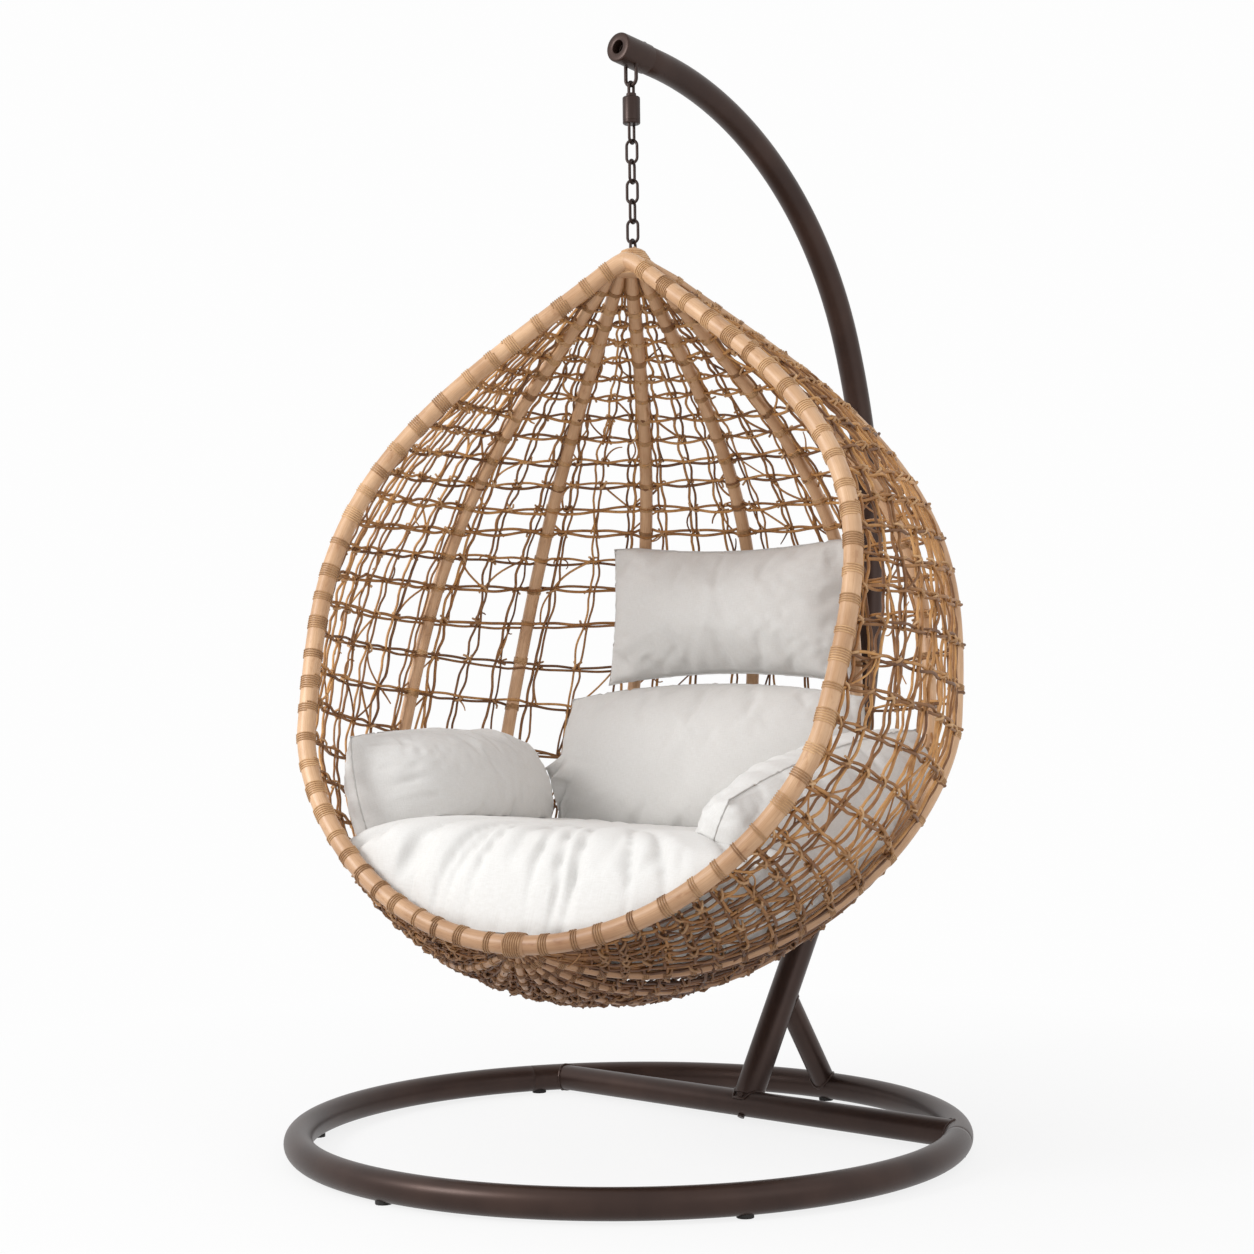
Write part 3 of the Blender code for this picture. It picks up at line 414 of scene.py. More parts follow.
bm = bmesh.new()
pole_axis = heading(POLE_LEAN)
for side in (-1.0, 1.0):
    weld_bead(bm, cross_centre + X_AXIS * side * (cross_half - 0.09), X_AXIS * side,
              CROSS_RADIUS, 0.12, off_ring)
weld_bead(bm, pole_point(0.09), -pole_axis, POLE_RADIUS, 0.09,
          off_tube(cross_centre, X_AXIS, CROSS_RADIUS))
weld_bead(bm, brace_foot + brace_axis * 0.08, -brace_axis, BRACE_RADIUS, 0.08, off_ring)
weld_bead(bm, pole_point(BRACE_TOP) - brace_axis * 0.12, brace_axis, BRACE_RADIUS, 0.12,
          off_tube(cross_centre, pole_axis, POLE_RADIUS))
add_piece("weld_beads", bm, *stand_steel)


# ---- end cap of the arm ----
# Turned steel plug pressed into the arm's end, with a blind bore in its face and a small
# rivet head on top.
FITTING_LENGTH = 0.072
FITTING_RADIUS = 0.0255
FITTING_HOLE_RADIUS = 0.0115
FITTING_HOLE_DEPTH = 0.018


def lathe(bm, origin, axis, reference, profile, sides=TUBE_SIDES):
    """Turned solid; `profile` is (distance along the axis, radius) from one end to the other."""
    side = axis.cross(reference).normalized()
    line = [bm.verts.new(origin + axis * distance + side * radius)
            for distance, radius in profile]
    edges = [bm.edges.new(pair) for pair in zip(line, line[1:])]
    bmesh.ops.spin(bm, geom=line + edges, cent=origin, axis=axis, dvec=(0.0, 0.0, 0.0),
                   angle=math.tau, steps=sides, use_merge=True)
    bmesh.ops.remove_doubles(bm, verts=bm.verts, dist=1e-6)


bm = bmesh.new()
hole_foot = FITTING_LENGTH - FITTING_HOLE_DEPTH
lathe(bm, arm_path[-1], tip_axis, X_AXIS,
      [(0.0004, 0.0), (0.0004, 0.0238), (0.0006, 0.0246), (0.0014, FITTING_RADIUS),
       (0.0680, FITTING_RADIUS), (0.0700, 0.0252), (0.0714, 0.0243), (FITTING_LENGTH, 0.0230),
       (FITTING_LENGTH, 0.0132), (0.0716, 0.0121), (0.0706, FITTING_HOLE_RADIUS),
       (hole_foot + 0.001, FITTING_HOLE_RADIUS), (hole_foot, 0.0105), (hole_foot, 0.0)])
fitting_up = X_AXIS.cross(tip_axis).normalized()
fitting_up *= 1.0 if fitting_up.z > 0.0 else -1.0
lathe(bm, arm_path[-1] + tip_axis * 0.008 + fitting_up * (FITTING_RADIUS - 0.001), fitting_up,
      X_AXIS, [(0.0, 0.0), (0.0, 0.0052), (0.0022, 0.0052), (0.0034, 0.0042), (0.0040, 0.0024),
               (0.0042, 0.0)], 24)
add_piece("arm_end_cap", bm, *stand_steel, "arm_end_fitting")


# ---- arm eye, swivel and its loops ----
# Bent steel eye under the arm's end, and a swivel in it: a turned case that turns on a
# polished washer, a loop above and an eye below.
EYE_ROD = 0.0032
EYE_WIDTH = 0.030
SWIVEL_LOOP_ROD = 0.0026
SWIVEL_LOOP_WIDTH = 0.017
CHAIN_ROD = 0.0025
LINK_WIDTH = 0.0245
BASKET_YAW = math.radians(17)


def arc(centre, radius, start, end, steps, across=X_AXIS):
    """Points of an arc in the upright plane that holds `across`."""
    angles = [start + (end - start) * k / steps for k in range(steps + 1)]
    return [centre + (across * math.cos(a) + Z_AXIS * math.sin(a)) * radius for a in angles]


def bent_eye(name, node_name, body, width, wire, legs_up, across, placing, steps, sunk=0.0,
             sides=16):
    """A rod bent round to two legs, in the place and between the heights of a CAD eye."""
    low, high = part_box(node_name)
    half = width / 2 - wire
    if legs_up:
        middle, end, start = low.z + wire + half, high.z, math.pi
    else:
        middle, end, start = high.z - wire - half, low.z - sunk, 0.0
    path = arc(Vector((0.0, 0.0, middle)), half, start, start + math.pi, steps, across)
    path = [Vector((*path[0].xy, end))] + path + [Vector((*path[-1].xy, end))]
    off_plane = placing.to_3x3() @ (Y_AXIS if across == X_AXIS else X_AXIS)
    add_rod(name, [placing @ point for point in path], wire, off_plane, dark_steel, body,
            "dark_brown_fittings", node_name, sides=sides)


dark_steel = grained("fitting_powder_coat", (0.024, 0.012, 0.009), (0.038, 0.020, 0.015), 9.0,
                     0.34, 0.46, 1500.0, 0.00006, Metallic=0.55, Coat_Weight=0.05,
                     Coat_Roughness=0.28)
bearing = grained("bearing_steel", (0.36, 0.36, 0.37), (0.45, 0.45, 0.46), 300.0, 0.24, 0.36,
                  300.0, 0.00004, Metallic=1.0)
finish_nodes("dark_brown_fittings", dark_steel)
finish_nodes("bearing_steel", bearing)

hook = Vector(next(j["pos_m"] for j in frame["joints"] if j["name"] == "hook_swing"))
hook_frame = Matrix.Translation((hook.x, hook.y, 0.0))
hung_frame = hook_frame @ Matrix.Rotation(BASKET_YAW, 4, "Z")

bent_eye("arm_eye", "hanging_eye", "stand", EYE_WIDTH, EYE_ROD, True, X_AXIS, hook_frame, 40,
         sides=20)
bent_eye("swivel_loop", "swivel_top_loop", "swivel_top", SWIVEL_LOOP_WIDTH, SWIVEL_LOOP_ROD,
         False, Y_AXIS, hook_frame, 32)

barrel_low, barrel_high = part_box("swivel_barrel")
height = barrel_high.z - barrel_low.z
bm = bmesh.new()
lathe(bm, Vector((hook.x, hook.y, barrel_low.z)), Z_AXIS, X_AXIS,
      [(0.0005, 0.0112), (0.0, 0.0118), (0.0, 0.0134), (0.0008, 0.0144), (0.0022, 0.0150),
       (0.0052, 0.0150), (0.0056, 0.0146), (0.0062, 0.0146), (0.0066, 0.0150),
       (height - 0.0028, 0.0150), (height - 0.0012, 0.0145), (height - 0.0003, 0.0134),
       (height, 0.0120), (height, 0.0056), (height - 0.0006, 0.0050), (height - 0.003, 0.0050)])
add_piece("swivel_case", bm, dark_steel, "swivel_body", "dark_brown_fittings", "swivel_barrel")

bent_eye("swivel_eye", "swivel_lower_eye", "swivel_body", LINK_WIDTH, CHAIN_ROD, True, Y_AXIS,
         hung_frame, 36)


# ---- chain ----
# Five welded steel links, each a quarter turn from the next, and the eye that stands on
# the basket's apex.
LINK_COUNT = 5
EYE_SUNK = 0.012             # of the basket's eye in the wound apex

half = LINK_WIDTH / 2 - CHAIN_ROD
for k in range(LINK_COUNT):
    low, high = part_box(f"chain_link_{k + 1}")
    across, reference = (X_AXIS, Y_AXIS) if k % 2 == 0 else (Y_AXIS, X_AXIS)
    top = Vector((0.0, 0.0, high.z - CHAIN_ROD - half))
    foot = Vector((0.0, 0.0, low.z + CHAIN_ROD + half))
    path = arc(top, half, 0.0, math.pi, 20, across)
    path += arc(foot, half, math.pi, math.tau, 20, across)
    add_rod(f"link_{k + 1}", [hung_frame @ point for point in path], CHAIN_ROD,
            hung_frame.to_3x3() @ reference, dark_steel, f"chain_link_{k + 1}_body",
            "dark_brown_fittings", f"chain_link_{k + 1}", closed=True, sides=16)
bent_eye("basket_hook_eye", "basket_eye", "basket", LINK_WIDTH, CHAIN_ROD, False, Y_AXIS,
         hung_frame, 30, EYE_SUNK)


# ---- rim of the basket ----
# A bent cane pole in one plane, pointed at the top and round below. It is the front edge of
# an egg that leans back, and everything else in the basket is tied to it.
BASKET_FLOOR = 0.257894      # height of the bowl's underside over the floor
BODY_TOP = 1.262             # these heights are over that underside
BODY_WIDEST = 0.446
BODY_RADIUS = 0.538
CROWN_POWER = 3.2
CROWN_TAPER = 1.5
BOWL_POWER = 1.65
BOWL_TAPER = 0.5
NOSE_START = 0.746
NOSE_GAIN = 0.2365
NOSE_POWER = 1.7
RIM_TOP = Vector((0.0, -0.024, 1.234))
RIM_FOOT = Vector((0.0, -0.450, 0.121))
RIM_ROD = 0.015
RIM_POINT_SPACING = 0.008
SIDE_STEPS, ALONG_STEPS = 180, 400
POLE_AXIS = (RIM_TOP - RIM_FOOT).normalized()
BODY_MIDDLE = (RIM_TOP + RIM_FOOT) / 2
BACKWARDS = -X_AXIS.cross(POLE_AXIS).normalized()
# painted shade: the cane is painted darker low down, under the basket's bowl
UNDERSIDE_HEIGHT = 0.31      # cane is darkest under this height over the floor
SHADE_HEIGHT = 0.60          # and has its own tone over this one


def outside(points):
    """Radial distance of points outside the basket's body, negative inside it."""
    height = points[..., 2]
    up = np.clip((height - BODY_WIDEST) / (BODY_TOP - BODY_WIDEST), 0.0, 1.0)
    down = np.clip((BODY_WIDEST - height) / BODY_WIDEST, 0.0, 1.0)
    crown = (1.0 - up ** CROWN_POWER) ** CROWN_TAPER
    bowl = (1.0 - down ** BOWL_POWER) ** BOWL_TAPER
    nose = NOSE_GAIN * np.clip(NOSE_START - height, 0.0, None) ** NOSE_POWER
    across = np.hypot(points[..., 0], points[..., 1] + nose)
    return across - BODY_RADIUS * np.where(height >= BODY_WIDEST, crown, bowl)


def surface_grid():
    """Points of the body: rows by the angle from the back, columns down from the apex."""
    sides, alongs = SIDES[:, None, None], ALONGS[None, :, None]
    away = np.array(BACKWARDS) * np.cos(sides) + np.array(X_AXIS) * np.sin(sides)
    rays = np.array(POLE_AXIS) * np.cos(alongs) + away * np.sin(alongs)
    near = np.zeros(rays.shape[:2])
    far = np.full(rays.shape[:2], 1.4)
    for _ in range(40):
        halfway = (near + far) / 2
        inside = outside(np.array(BODY_MIDDLE) + rays * halfway[..., None]) < 0.0
        near = np.where(inside, halfway, near)
        far = np.where(inside, far, halfway)
    return np.array(BODY_MIDDLE) + rays * near[..., None]


def sampled(table, sides, alongs):
    """A table's values at angles between its rows and columns."""
    s = np.clip((np.asarray(sides) + math.pi / 2) / math.pi, 0.0, 1.0) * SIDE_STEPS
    a = np.clip(np.asarray(alongs) / math.pi, 0.0, 1.0) * ALONG_STEPS
    i, k = np.minimum(s.astype(int), SIDE_STEPS - 1), np.minimum(a.astype(int), ALONG_STEPS - 1)
    fs, fa = (s - i)[..., None], (a - k)[..., None]
    low = table[i, k] * (1 - fa) + table[i, k + 1] * fa
    high = table[i + 1, k] * (1 - fa) + table[i + 1, k + 1] * fa
    return low * (1 - fs) + high * fs


def on_basket(sides, alongs, lifts=0.0):
    """Points on the basket in the row frame, lifted off its surface by `lifts`."""
    sides, alongs = np.broadcast_arrays(np.asarray(sides, float), np.asarray(alongs, float))
    points = sampled(grid, sides, alongs)
    points = points + sampled(normals, sides, alongs) * np.asarray(lifts)[..., None]
    return points @ basket_matrix[:3, :3].T + basket_matrix[:3, 3]


def run_along(points):
    """Distance along a line of points at each of them."""
    return np.concatenate([[0.0], np.cumsum(np.linalg.norm(np.diff(points, axis=0), axis=1))])


def evenly(points, spacing):
    """The same line with its points evenly spaced."""
    run = run_along(points)
    marks = np.linspace(0.0, run[-1], max(2, round(run[-1] / spacing)) + 1)
    return np.stack([np.interp(marks, run, points[:, n]) for n in range(3)], axis=1)


def to_vectors(points):
    return [Vector(p) for p in points]


def to_row(vector):
    """A direction of the basket's own frame as one of the row frame."""
    return basket_frame.to_3x3() @ vector


SIDES = np.linspace(-math.pi / 2, math.pi / 2, SIDE_STEPS + 1)
ALONGS = np.linspace(0.0, math.pi, ALONG_STEPS + 1)
basket_frame = (Matrix.Translation((hook.x, hook.y, BASKET_FLOOR))
                @ Matrix.Rotation(BASKET_YAW, 4, "Z"))
basket_matrix = np.array(basket_frame)
grid = surface_grid()
normals = np.cross(np.gradient(grid, axis=1), np.gradient(grid, axis=0))
normals[:, 0] = normals[:, 1]
normals[:, -1] = normals[:, -2]
normals /= np.maximum(np.linalg.norm(normals, axis=-1, keepdims=True), 1e-12)
if np.sum(normals * (grid - np.array(BODY_MIDDLE))) < 0.0:
    normals = -normals

# painted shade: cane goes deeper in tone towards the basket's underside, where it lies in shade
underside_painted_shade, given, result = effect(
    "underside_painted_shade", {"Vector": "Vector", "Color": "Color", "Deepest": "Color"},
    {"Color": "Color"})
level = node(underside_painted_shade, "ShaderNodeSeparateXYZ", {"Vector": given["Vector"]}).outputs["Z"]
level = spread(underside_painted_shade, level, UNDERSIDE_HEIGHT, SHADE_HEIGHT)
put_out(underside_painted_shade, result,
        Color=darkened(underside_painted_shade, given["Color"], level, given["Deepest"]))


def pole_cane():
    """Skin of a cane pole: long fine fibres, tone that drifts along it, darker stains."""
    made, tree, shader, place = new_material("polished_cane", Coat_Weight=0.18,
                                             Coat_Roughness=0.35)
    drifting = stretched_noise(tree, place["UV"], (9.0, 2.0, 1.0), 4.0, 0.55)
    fibres = stretched_noise(tree, place["UV"], (14.0, 70.0, 1.0), 5.0, 0.7)
    stains = stretched_noise(tree, place["UV"], (22.0, 5.0, 1.0), 6.0, 0.62)
    tone = mixed(tree, spread(tree, drifting, 0.25, 0.75), (0.450, 0.245, 0.118, 1.0),
                 (0.780, 0.515, 0.310, 1.0))
    tone = darkened(tree, tone, spread(tree, fibres, 0.30, 0.62), (0.78, 0.71, 0.64, 1.0))
    tone = darkened(tree, tone, spread(tree, stains, 0.58, 0.76, 1.0, 0.0),
                    (0.62, 0.46, 0.32, 1.0))
    # painted shade: the cane's tone darkens towards the basket's underside
    shaded_below = placed(tree, underside_painted_shade, Vector=place["Object"], Color=tone,
                  Deepest=(0.60, 0.52, 0.46, 1.0))
    feed(tree, shader, Base_Color=shaded_below["Color"], Roughness=spread(tree, fibres, 0.0, 1.0, 0.36,
                                                                 0.52),
         Normal=bump(tree, fibres, 0.00025))
    return made


cane = pole_cane()
finish_nodes("tan_cane", cane)
rim_half = np.linspace(0.0, math.pi, 500)
rim_points = np.vstack([on_basket(-math.pi / 2, rim_half), on_basket(math.pi / 2, rim_half[::-1])])
rim_points = evenly(rim_points, RIM_POINT_SPACING)[:-1]
add_rod("rim_cane_pole", to_vectors(rim_points), RIM_ROD, to_row(BACKWARDS), cane, "basket",
        "tan_cane", "rim_tube", closed=True, sides=28)


# ---- ribs ----
# Seven cane poles bent from the apex over the back to the rim's foot. They thin towards
# both ends, where they gather, and under the bowl.
RIB_ROD = 0.012
RIB_SPREAD = math.radians(17.3)
RIBS_EACH_SIDE = 3
RIB_END = 0.030              # radians between a rib's end and the apex or the foot
RIB_THIN_END = 0.0035
RIB_POINT_SPACING = 0.009
LOW_RIB_SHARE = 0.58         # of its full size, under the bowl
rib_sides = [RIB_SPREAD * k for k in range(-RIBS_EACH_SIDE, RIBS_EACH_SIDE + 1)]


def rib_radius(alongs, side):
    """Full size where there is room, and thinner where the ribs gather or carry less."""
    points = sampled(grid, np.full(len(alongs), side), alongs)
    low = np.clip((0.30 - points[:, 2]) / 0.24, 0.0, 1.0)
    full = RIB_ROD * (1.0 - (1.0 - LOW_RIB_SHARE) * low * low * (3.0 - 2.0 * low))
    points = points - np.array(BODY_MIDDLE)
    off = points - np.outer(points @ np.array(POLE_AXIS), np.array(POLE_AXIS))
    room = np.linalg.norm(off, axis=1) * RIB_SPREAD / 2 - 0.0005
    return np.clip(np.minimum(room, full), RIB_THIN_END, RIB_ROD)


def rib_across(side):
    """Direction across a rib's own plane, in the row frame."""
    return to_row(POLE_AXIS.cross(BACKWARDS * math.cos(side) + X_AXIS * math.sin(side)))


rib_alongs = np.linspace(RIB_END, math.pi - RIB_END, 420)
rib_lines = []
for n, side in enumerate(rib_sides):
    line = evenly(on_basket(side, rib_alongs), RIB_POINT_SPACING)
    sizes = np.interp(np.linspace(0.0, 1.0, len(line)), np.linspace(0.0, 1.0, len(rib_alongs)),
                      rib_radius(rib_alongs, side))
    rib_lines.append((line, sizes))
    add_rod(f"rib_cane_{n + 1}", to_vectors(line), list(sizes), rib_across(side), cane,
            "basket", "tan_cane", f"rib_{n + 1}", sides=24)


# ---- open weave ----
# Split cane about 5 mm thick. Pairs of upright strands stand between the ribs, and rows of
# two strands are twined round them and the ribs: level above, drawn to the rim's foot below.
ROW_PITCH = 0.052            # between rows, measured down the rim
LOW_ROW_PITCH = 0.030        # near the rim's foot, where the back is much longer than the rim
FIRST_ROW = 0.075            # down the rim from the apex
LOW_ROWS = (0.46, 0.30)      # height of the rim where rows begin to close up, and over what
HIGH_ROWS = (1.02, 0.18)     # the same towards the apex
HIGH_ROW_GAIN = 0.014        # and how much closer they get there
LEVEL_ABOVE = 0.80           # rows that leave the rim over this height are level
DRAWN_BELOW = 0.13           # and those under this one follow the turn about the foot
STAKE_PAIRS = 3              # pairs between two ribs
EDGE_PAIRS = 8               # pairs between the outer rib and the rim
PAIR_SPREAD = 0.0056         # half the distance between the strands of a pair
STAKE_RADIUS = 0.0025
ROW_RADIUS = 0.0027
STAKE_STEP = 0.0135          # radians between a stake's points
ROW_STEP = 0.0085            # metres between a row's points
rng = random.Random(7)


class Strands:
    """Many thin round strands, gathered as one piece of the basket."""

    def __init__(self, name):
        self.curve = bpy.data.curves.new(name, "CURVE")
        self.curve.dimensions = "3D"
        self.curve.bevel_depth = 1.0
        self.curve.bevel_resolution = 1
        self.curve.use_fill_caps = True

    def add(self, points, radii):
        """One strand along the rows of `points`, in the row frame."""
        spline = self.curve.splines.new("POLY")
        spline.points.add(len(points) - 1)
        spline.points.foreach_set("co", np.c_[points, np.ones(len(points))].ravel())
        spline.points.foreach_set("radius", np.broadcast_to(radii, len(points)).astype(float))

    def finish(self, finish, slot, *replaced):
        source = bpy.data.objects.new(self.curve.name + "_line", self.curve)
        scene.collection.objects.link(source)
        bpy.context.view_layer.update()
        graph = bpy.context.evaluated_depsgraph_get()
        mesh = bpy.data.meshes.new_from_object(source.evaluated_get(graph))
        bpy.data.objects.remove(source)
        show(self.curve.name, mesh, finish, "basket", slot, *replaced)


def row_starts():
    """Distances down the rim at which the rows leave it, from the apex."""
    starts, run = [], FIRST_ROW
    while run < rim_run[-1] - 0.015:
        starts.append(run)
        height = np.interp(run, rim_run, rim_line[:, 2])
        low = min(max((LOW_ROWS[0] - height) / LOW_ROWS[1], 0.0), 1.0)
        high = min(max((height - HIGH_ROWS[0]) / HIGH_ROWS[1], 0.0), 1.0)
        run += ROW_PITCH * (1 - low) + LOW_ROW_PITCH * low - HIGH_ROW_GAIN * high
    return starts


def row_alongs(run):
    """For one row, its angle along the basket at each side angle of the grid."""
    start = np.interp(run, rim_run, ALONGS)
    height = np.interp(run, rim_run, rim_line[:, 2])
    share = min(max((LEVEL_ABOVE - height) / (LEVEL_ABOVE - DRAWN_BELOW), 0.0), 1.0)
    drawn = share * share * (3.0 - 2.0 * share)
    level = np.empty(SIDE_STEPS + 1)
    for n in range(SIDE_STEPS + 1):
        heights = grid[n, :, 2]
        foot = int(np.argmin(heights))
        level[n] = np.interp(-height, -heights[:foot + 1], ALONGS[:foot + 1])
    return level * (1.0 - drawn) + start * drawn


def row_along(row, sides):
    return np.interp(sides, SIDES, rows[row])


def stake_sides():
    """Side angles of the pairs of stakes, from the left rim to the right."""
    edges = [-math.pi / 2] + rib_sides + [math.pi / 2]
    found = []
    for n, (low, high) in enumerate(zip(edges, edges[1:])):
        pairs = EDGE_PAIRS if n in (0, len(edges) - 2) else STAKE_PAIRS
        found += [low + (high - low) * (k + 0.5) / pairs for k in range(pairs)]
    return found


def along_size(sides, alongs):
    """Metres per radian down the basket, to turn small shifts into angles."""
    return sampled(along_sizes[..., None], sides, alongs)[..., 0]


def side_size(sides, alongs):
    """Metres per radian across the basket."""
    return np.maximum(sampled(side_sizes[..., None], sides, alongs)[..., 0], 0.02)


def wavering(count, seed, scale, size):
    """Smooth wandering values along a strand."""
    return np.array([noise.noise(Vector((k * scale, seed * 7.31, 0.5))) for k in range(count)]
                    ) * size


# tone of one split strand: its own shade, and darker patches along it
strand_tone, given, result = effect(
    "strand_tone", {"Vector": "Vector", "Own": "Float", "Dark": "Color", "Middle": "Color",
                    "Light": "Color"}, {"Color": "Color"})
tone = mixed(strand_tone, spread(strand_tone, given["Own"], 0.0, 0.45), given["Dark"],
             given["Middle"])
tone = mixed(strand_tone, spread(strand_tone, given["Own"], 0.45, 1.0), tone, given["Light"])
patches = noise_value(strand_tone, given["Vector"], 34.0, 4.0, 0.6)
put_out(strand_tone, result,
        Color=darkened(strand_tone, tone, spread(strand_tone, patches, 0.34, 0.58),
                       (0.62, 0.53, 0.44, 1.0)))


def strand_cane(name, dark, middle, light):
    """Thin split cane, matt, with a tone of its own for each strand."""
    made, tree, shader, place = new_material(name, Coat_Weight=0.08, Coat_Roughness=0.4)
    own = node(tree, "ShaderNodeNewGeometry").outputs["Random Per Island"]
    tone = placed(tree, strand_tone, Vector=place["Object"], Own=own, Dark=(*dark, 1.0),
                  Middle=(*middle, 1.0), Light=(*light, 1.0))
    # painted shade: each strand's tone darkens towards the basket's underside
    shaded_below = placed(tree, underside_painted_shade, Vector=place["Object"], Color=tone["Color"],
                  Deepest=(0.42, 0.34, 0.28, 1.0))
    grains = placed(tree, fine_grain, Vector=place["Object"], Scale=420.0, Smooth=0.42,
                    Rough=0.62, Depth=0.0003)
    feed(tree, shader, Base_Color=shaded_below["Color"], Roughness=grains["Roughness"],
         Normal=grains["Normal"])
    return made


def add_stakes():
    """Upright pairs, pinched together at each row and wandering between the rows."""
    strands = Strands("upright_strands")
    for n, side in enumerate(stakes):
        marks = [row_along(r, side) for r in range(len(rows))]
        start = marks[0] * 0.45 if n % 3 == 0 else marks[1 + n % 3]
        alongs = np.arange(start, min(marks[-1] + 0.05, math.pi - 0.03), STAKE_STEP)
        pinch = np.abs(np.sin(np.interp(alongs, marks, np.arange(len(rows))) * math.pi)) ** 0.7
        size = side_size(np.full(len(alongs), side), alongs)
        room = np.minimum(size * RIB_SPREAD / STAKE_PAIRS * 0.32, PAIR_SPREAD)
        for hand in (-1.0, 1.0):
            seed = n * 2 + (hand > 0)
            offset = hand * room * (0.55 + 0.45 * pinch)
            offset += wavering(len(alongs), seed, 0.21, 0.0085) * pinch * room / PAIR_SPREAD
            offset += wavering(len(alongs), n + 700, 0.05, 0.012) * room / PAIR_SPREAD
            lift = wavering(len(alongs), seed + 400, 0.31, 0.0030) - 0.0010 * hand
            strands.add(on_basket(side + offset / size, alongs, lift),
                        STAKE_RADIUS * rng.uniform(0.82, 1.15))
    strands.finish(weave_cane, "woven_cane")


def add_rows():
    """Rows of two strands that pass on opposite sides of each stake and rib."""
    strands = Strands("twined_rows")
    posts = sorted([(s, 0.0042) for s in stakes] + [(s, RIB_ROD + 0.0026) for s in rib_sides]
                   + [(-math.pi / 2, 0.004), (math.pi / 2, 0.004)])
    post_sides = np.array([side for side, _ in posts])
    turns = np.arange(len(posts)) * math.pi
    for r in range(len(rows)):
        middle = np.array([row_along(r, 0.0)])
        size = side_size(np.zeros(1), middle)[0]
        slim = rib_radius(middle, 0.0)[0] / RIB_ROD
        sides = np.linspace(-math.pi / 2, math.pi / 2, max(60, int(math.pi * size / ROW_STEP)))
        alongs = row_along(r, sides)
        turn = np.interp(sides, post_sides, turns) + r * math.pi
        swing = np.interp(sides, post_sides,
                          [lift * slim if lift > 0.01 else lift for _, lift in posts])
        for hand in (-1.0, 1.0):
            seed = 900 + r * 2 + (hand > 0)
            shift = hand * (0.0030 + 0.0012 * np.abs(np.sin(turn)))
            shift = shift + wavering(len(sides), seed, 0.16, 0.0040)
            shift = shift + wavering(len(sides), r + 800, 0.035, 0.0100)
            strands.add(on_basket(sides, alongs + shift / along_size(sides, alongs),
                                  hand * swing * np.cos(turn)),
                        ROW_RADIUS * rng.uniform(0.9, 1.12))
    strands.finish(weave_cane, "woven_cane", *[f"net_panel_{k + 1}" for k in range(8)])


rim_line = grid[-1]
rim_run = run_along(rim_line)
along_sizes = np.linalg.norm(np.gradient(grid, axis=1), axis=-1) / (math.pi / ALONG_STEPS)
side_sizes = np.linalg.norm(np.gradient(grid, axis=0), axis=-1) / (math.pi / SIDE_STEPS)
rows = [row_alongs(run) for run in row_starts()]
stakes = stake_sides()
weave_cane = strand_cane("weave_cane", (0.175, 0.070, 0.018), (0.380, 0.172, 0.048),
                         (0.620, 0.325, 0.108))
finish_nodes("woven_cane", weave_cane)
add_stakes()
add_rows()


# ---- knots and loose ends ----
# Short bindings laid slantwise over most crossings, slanting strands between crossings, and
# cut ends that curl off the weave.
KNOT_CURVE = np.array([-1.0, -0.62, 0.0, 0.62, 1.0])
KNOT_RISE = np.array([-0.0028, 0.0052, 0.0072, 0.0052, -0.0028])
KNOT_ROOM = 0.014            # stakes nearer than this are left without knots
SLANTING_STRANDS = 440
CURLED_ENDS = 300


def add_knots():
    strands = Strands("crossing_knots")
    for r in range(1, len(rows)):
        for side in stakes:
            along = float(row_along(r, side))
            size = float(side_size(side, along))
            if size * RIB_SPREAD / STAKE_PAIRS < KNOT_ROOM or rng.random() < 0.12:
                continue
            hands = (1.0, -1.0) if rng.random() < 0.55 else (rng.choice((1.0, -1.0)),)
            for slant in hands:
                reach = rng.uniform(0.0062, 0.0088)
                rise = KNOT_RISE if rng.random() < 0.65 else -KNOT_RISE
                sway = rng.uniform(0.6, 1.1) * reach / float(along_size(side, along))
                strands.add(on_basket(side + KNOT_CURVE * reach / size,
                                      along + KNOT_CURVE * slant * sway, rise),
                            STAKE_RADIUS * rng.uniform(0.75, 1.0))
    strands.finish(binding_cane, "woven_cane")


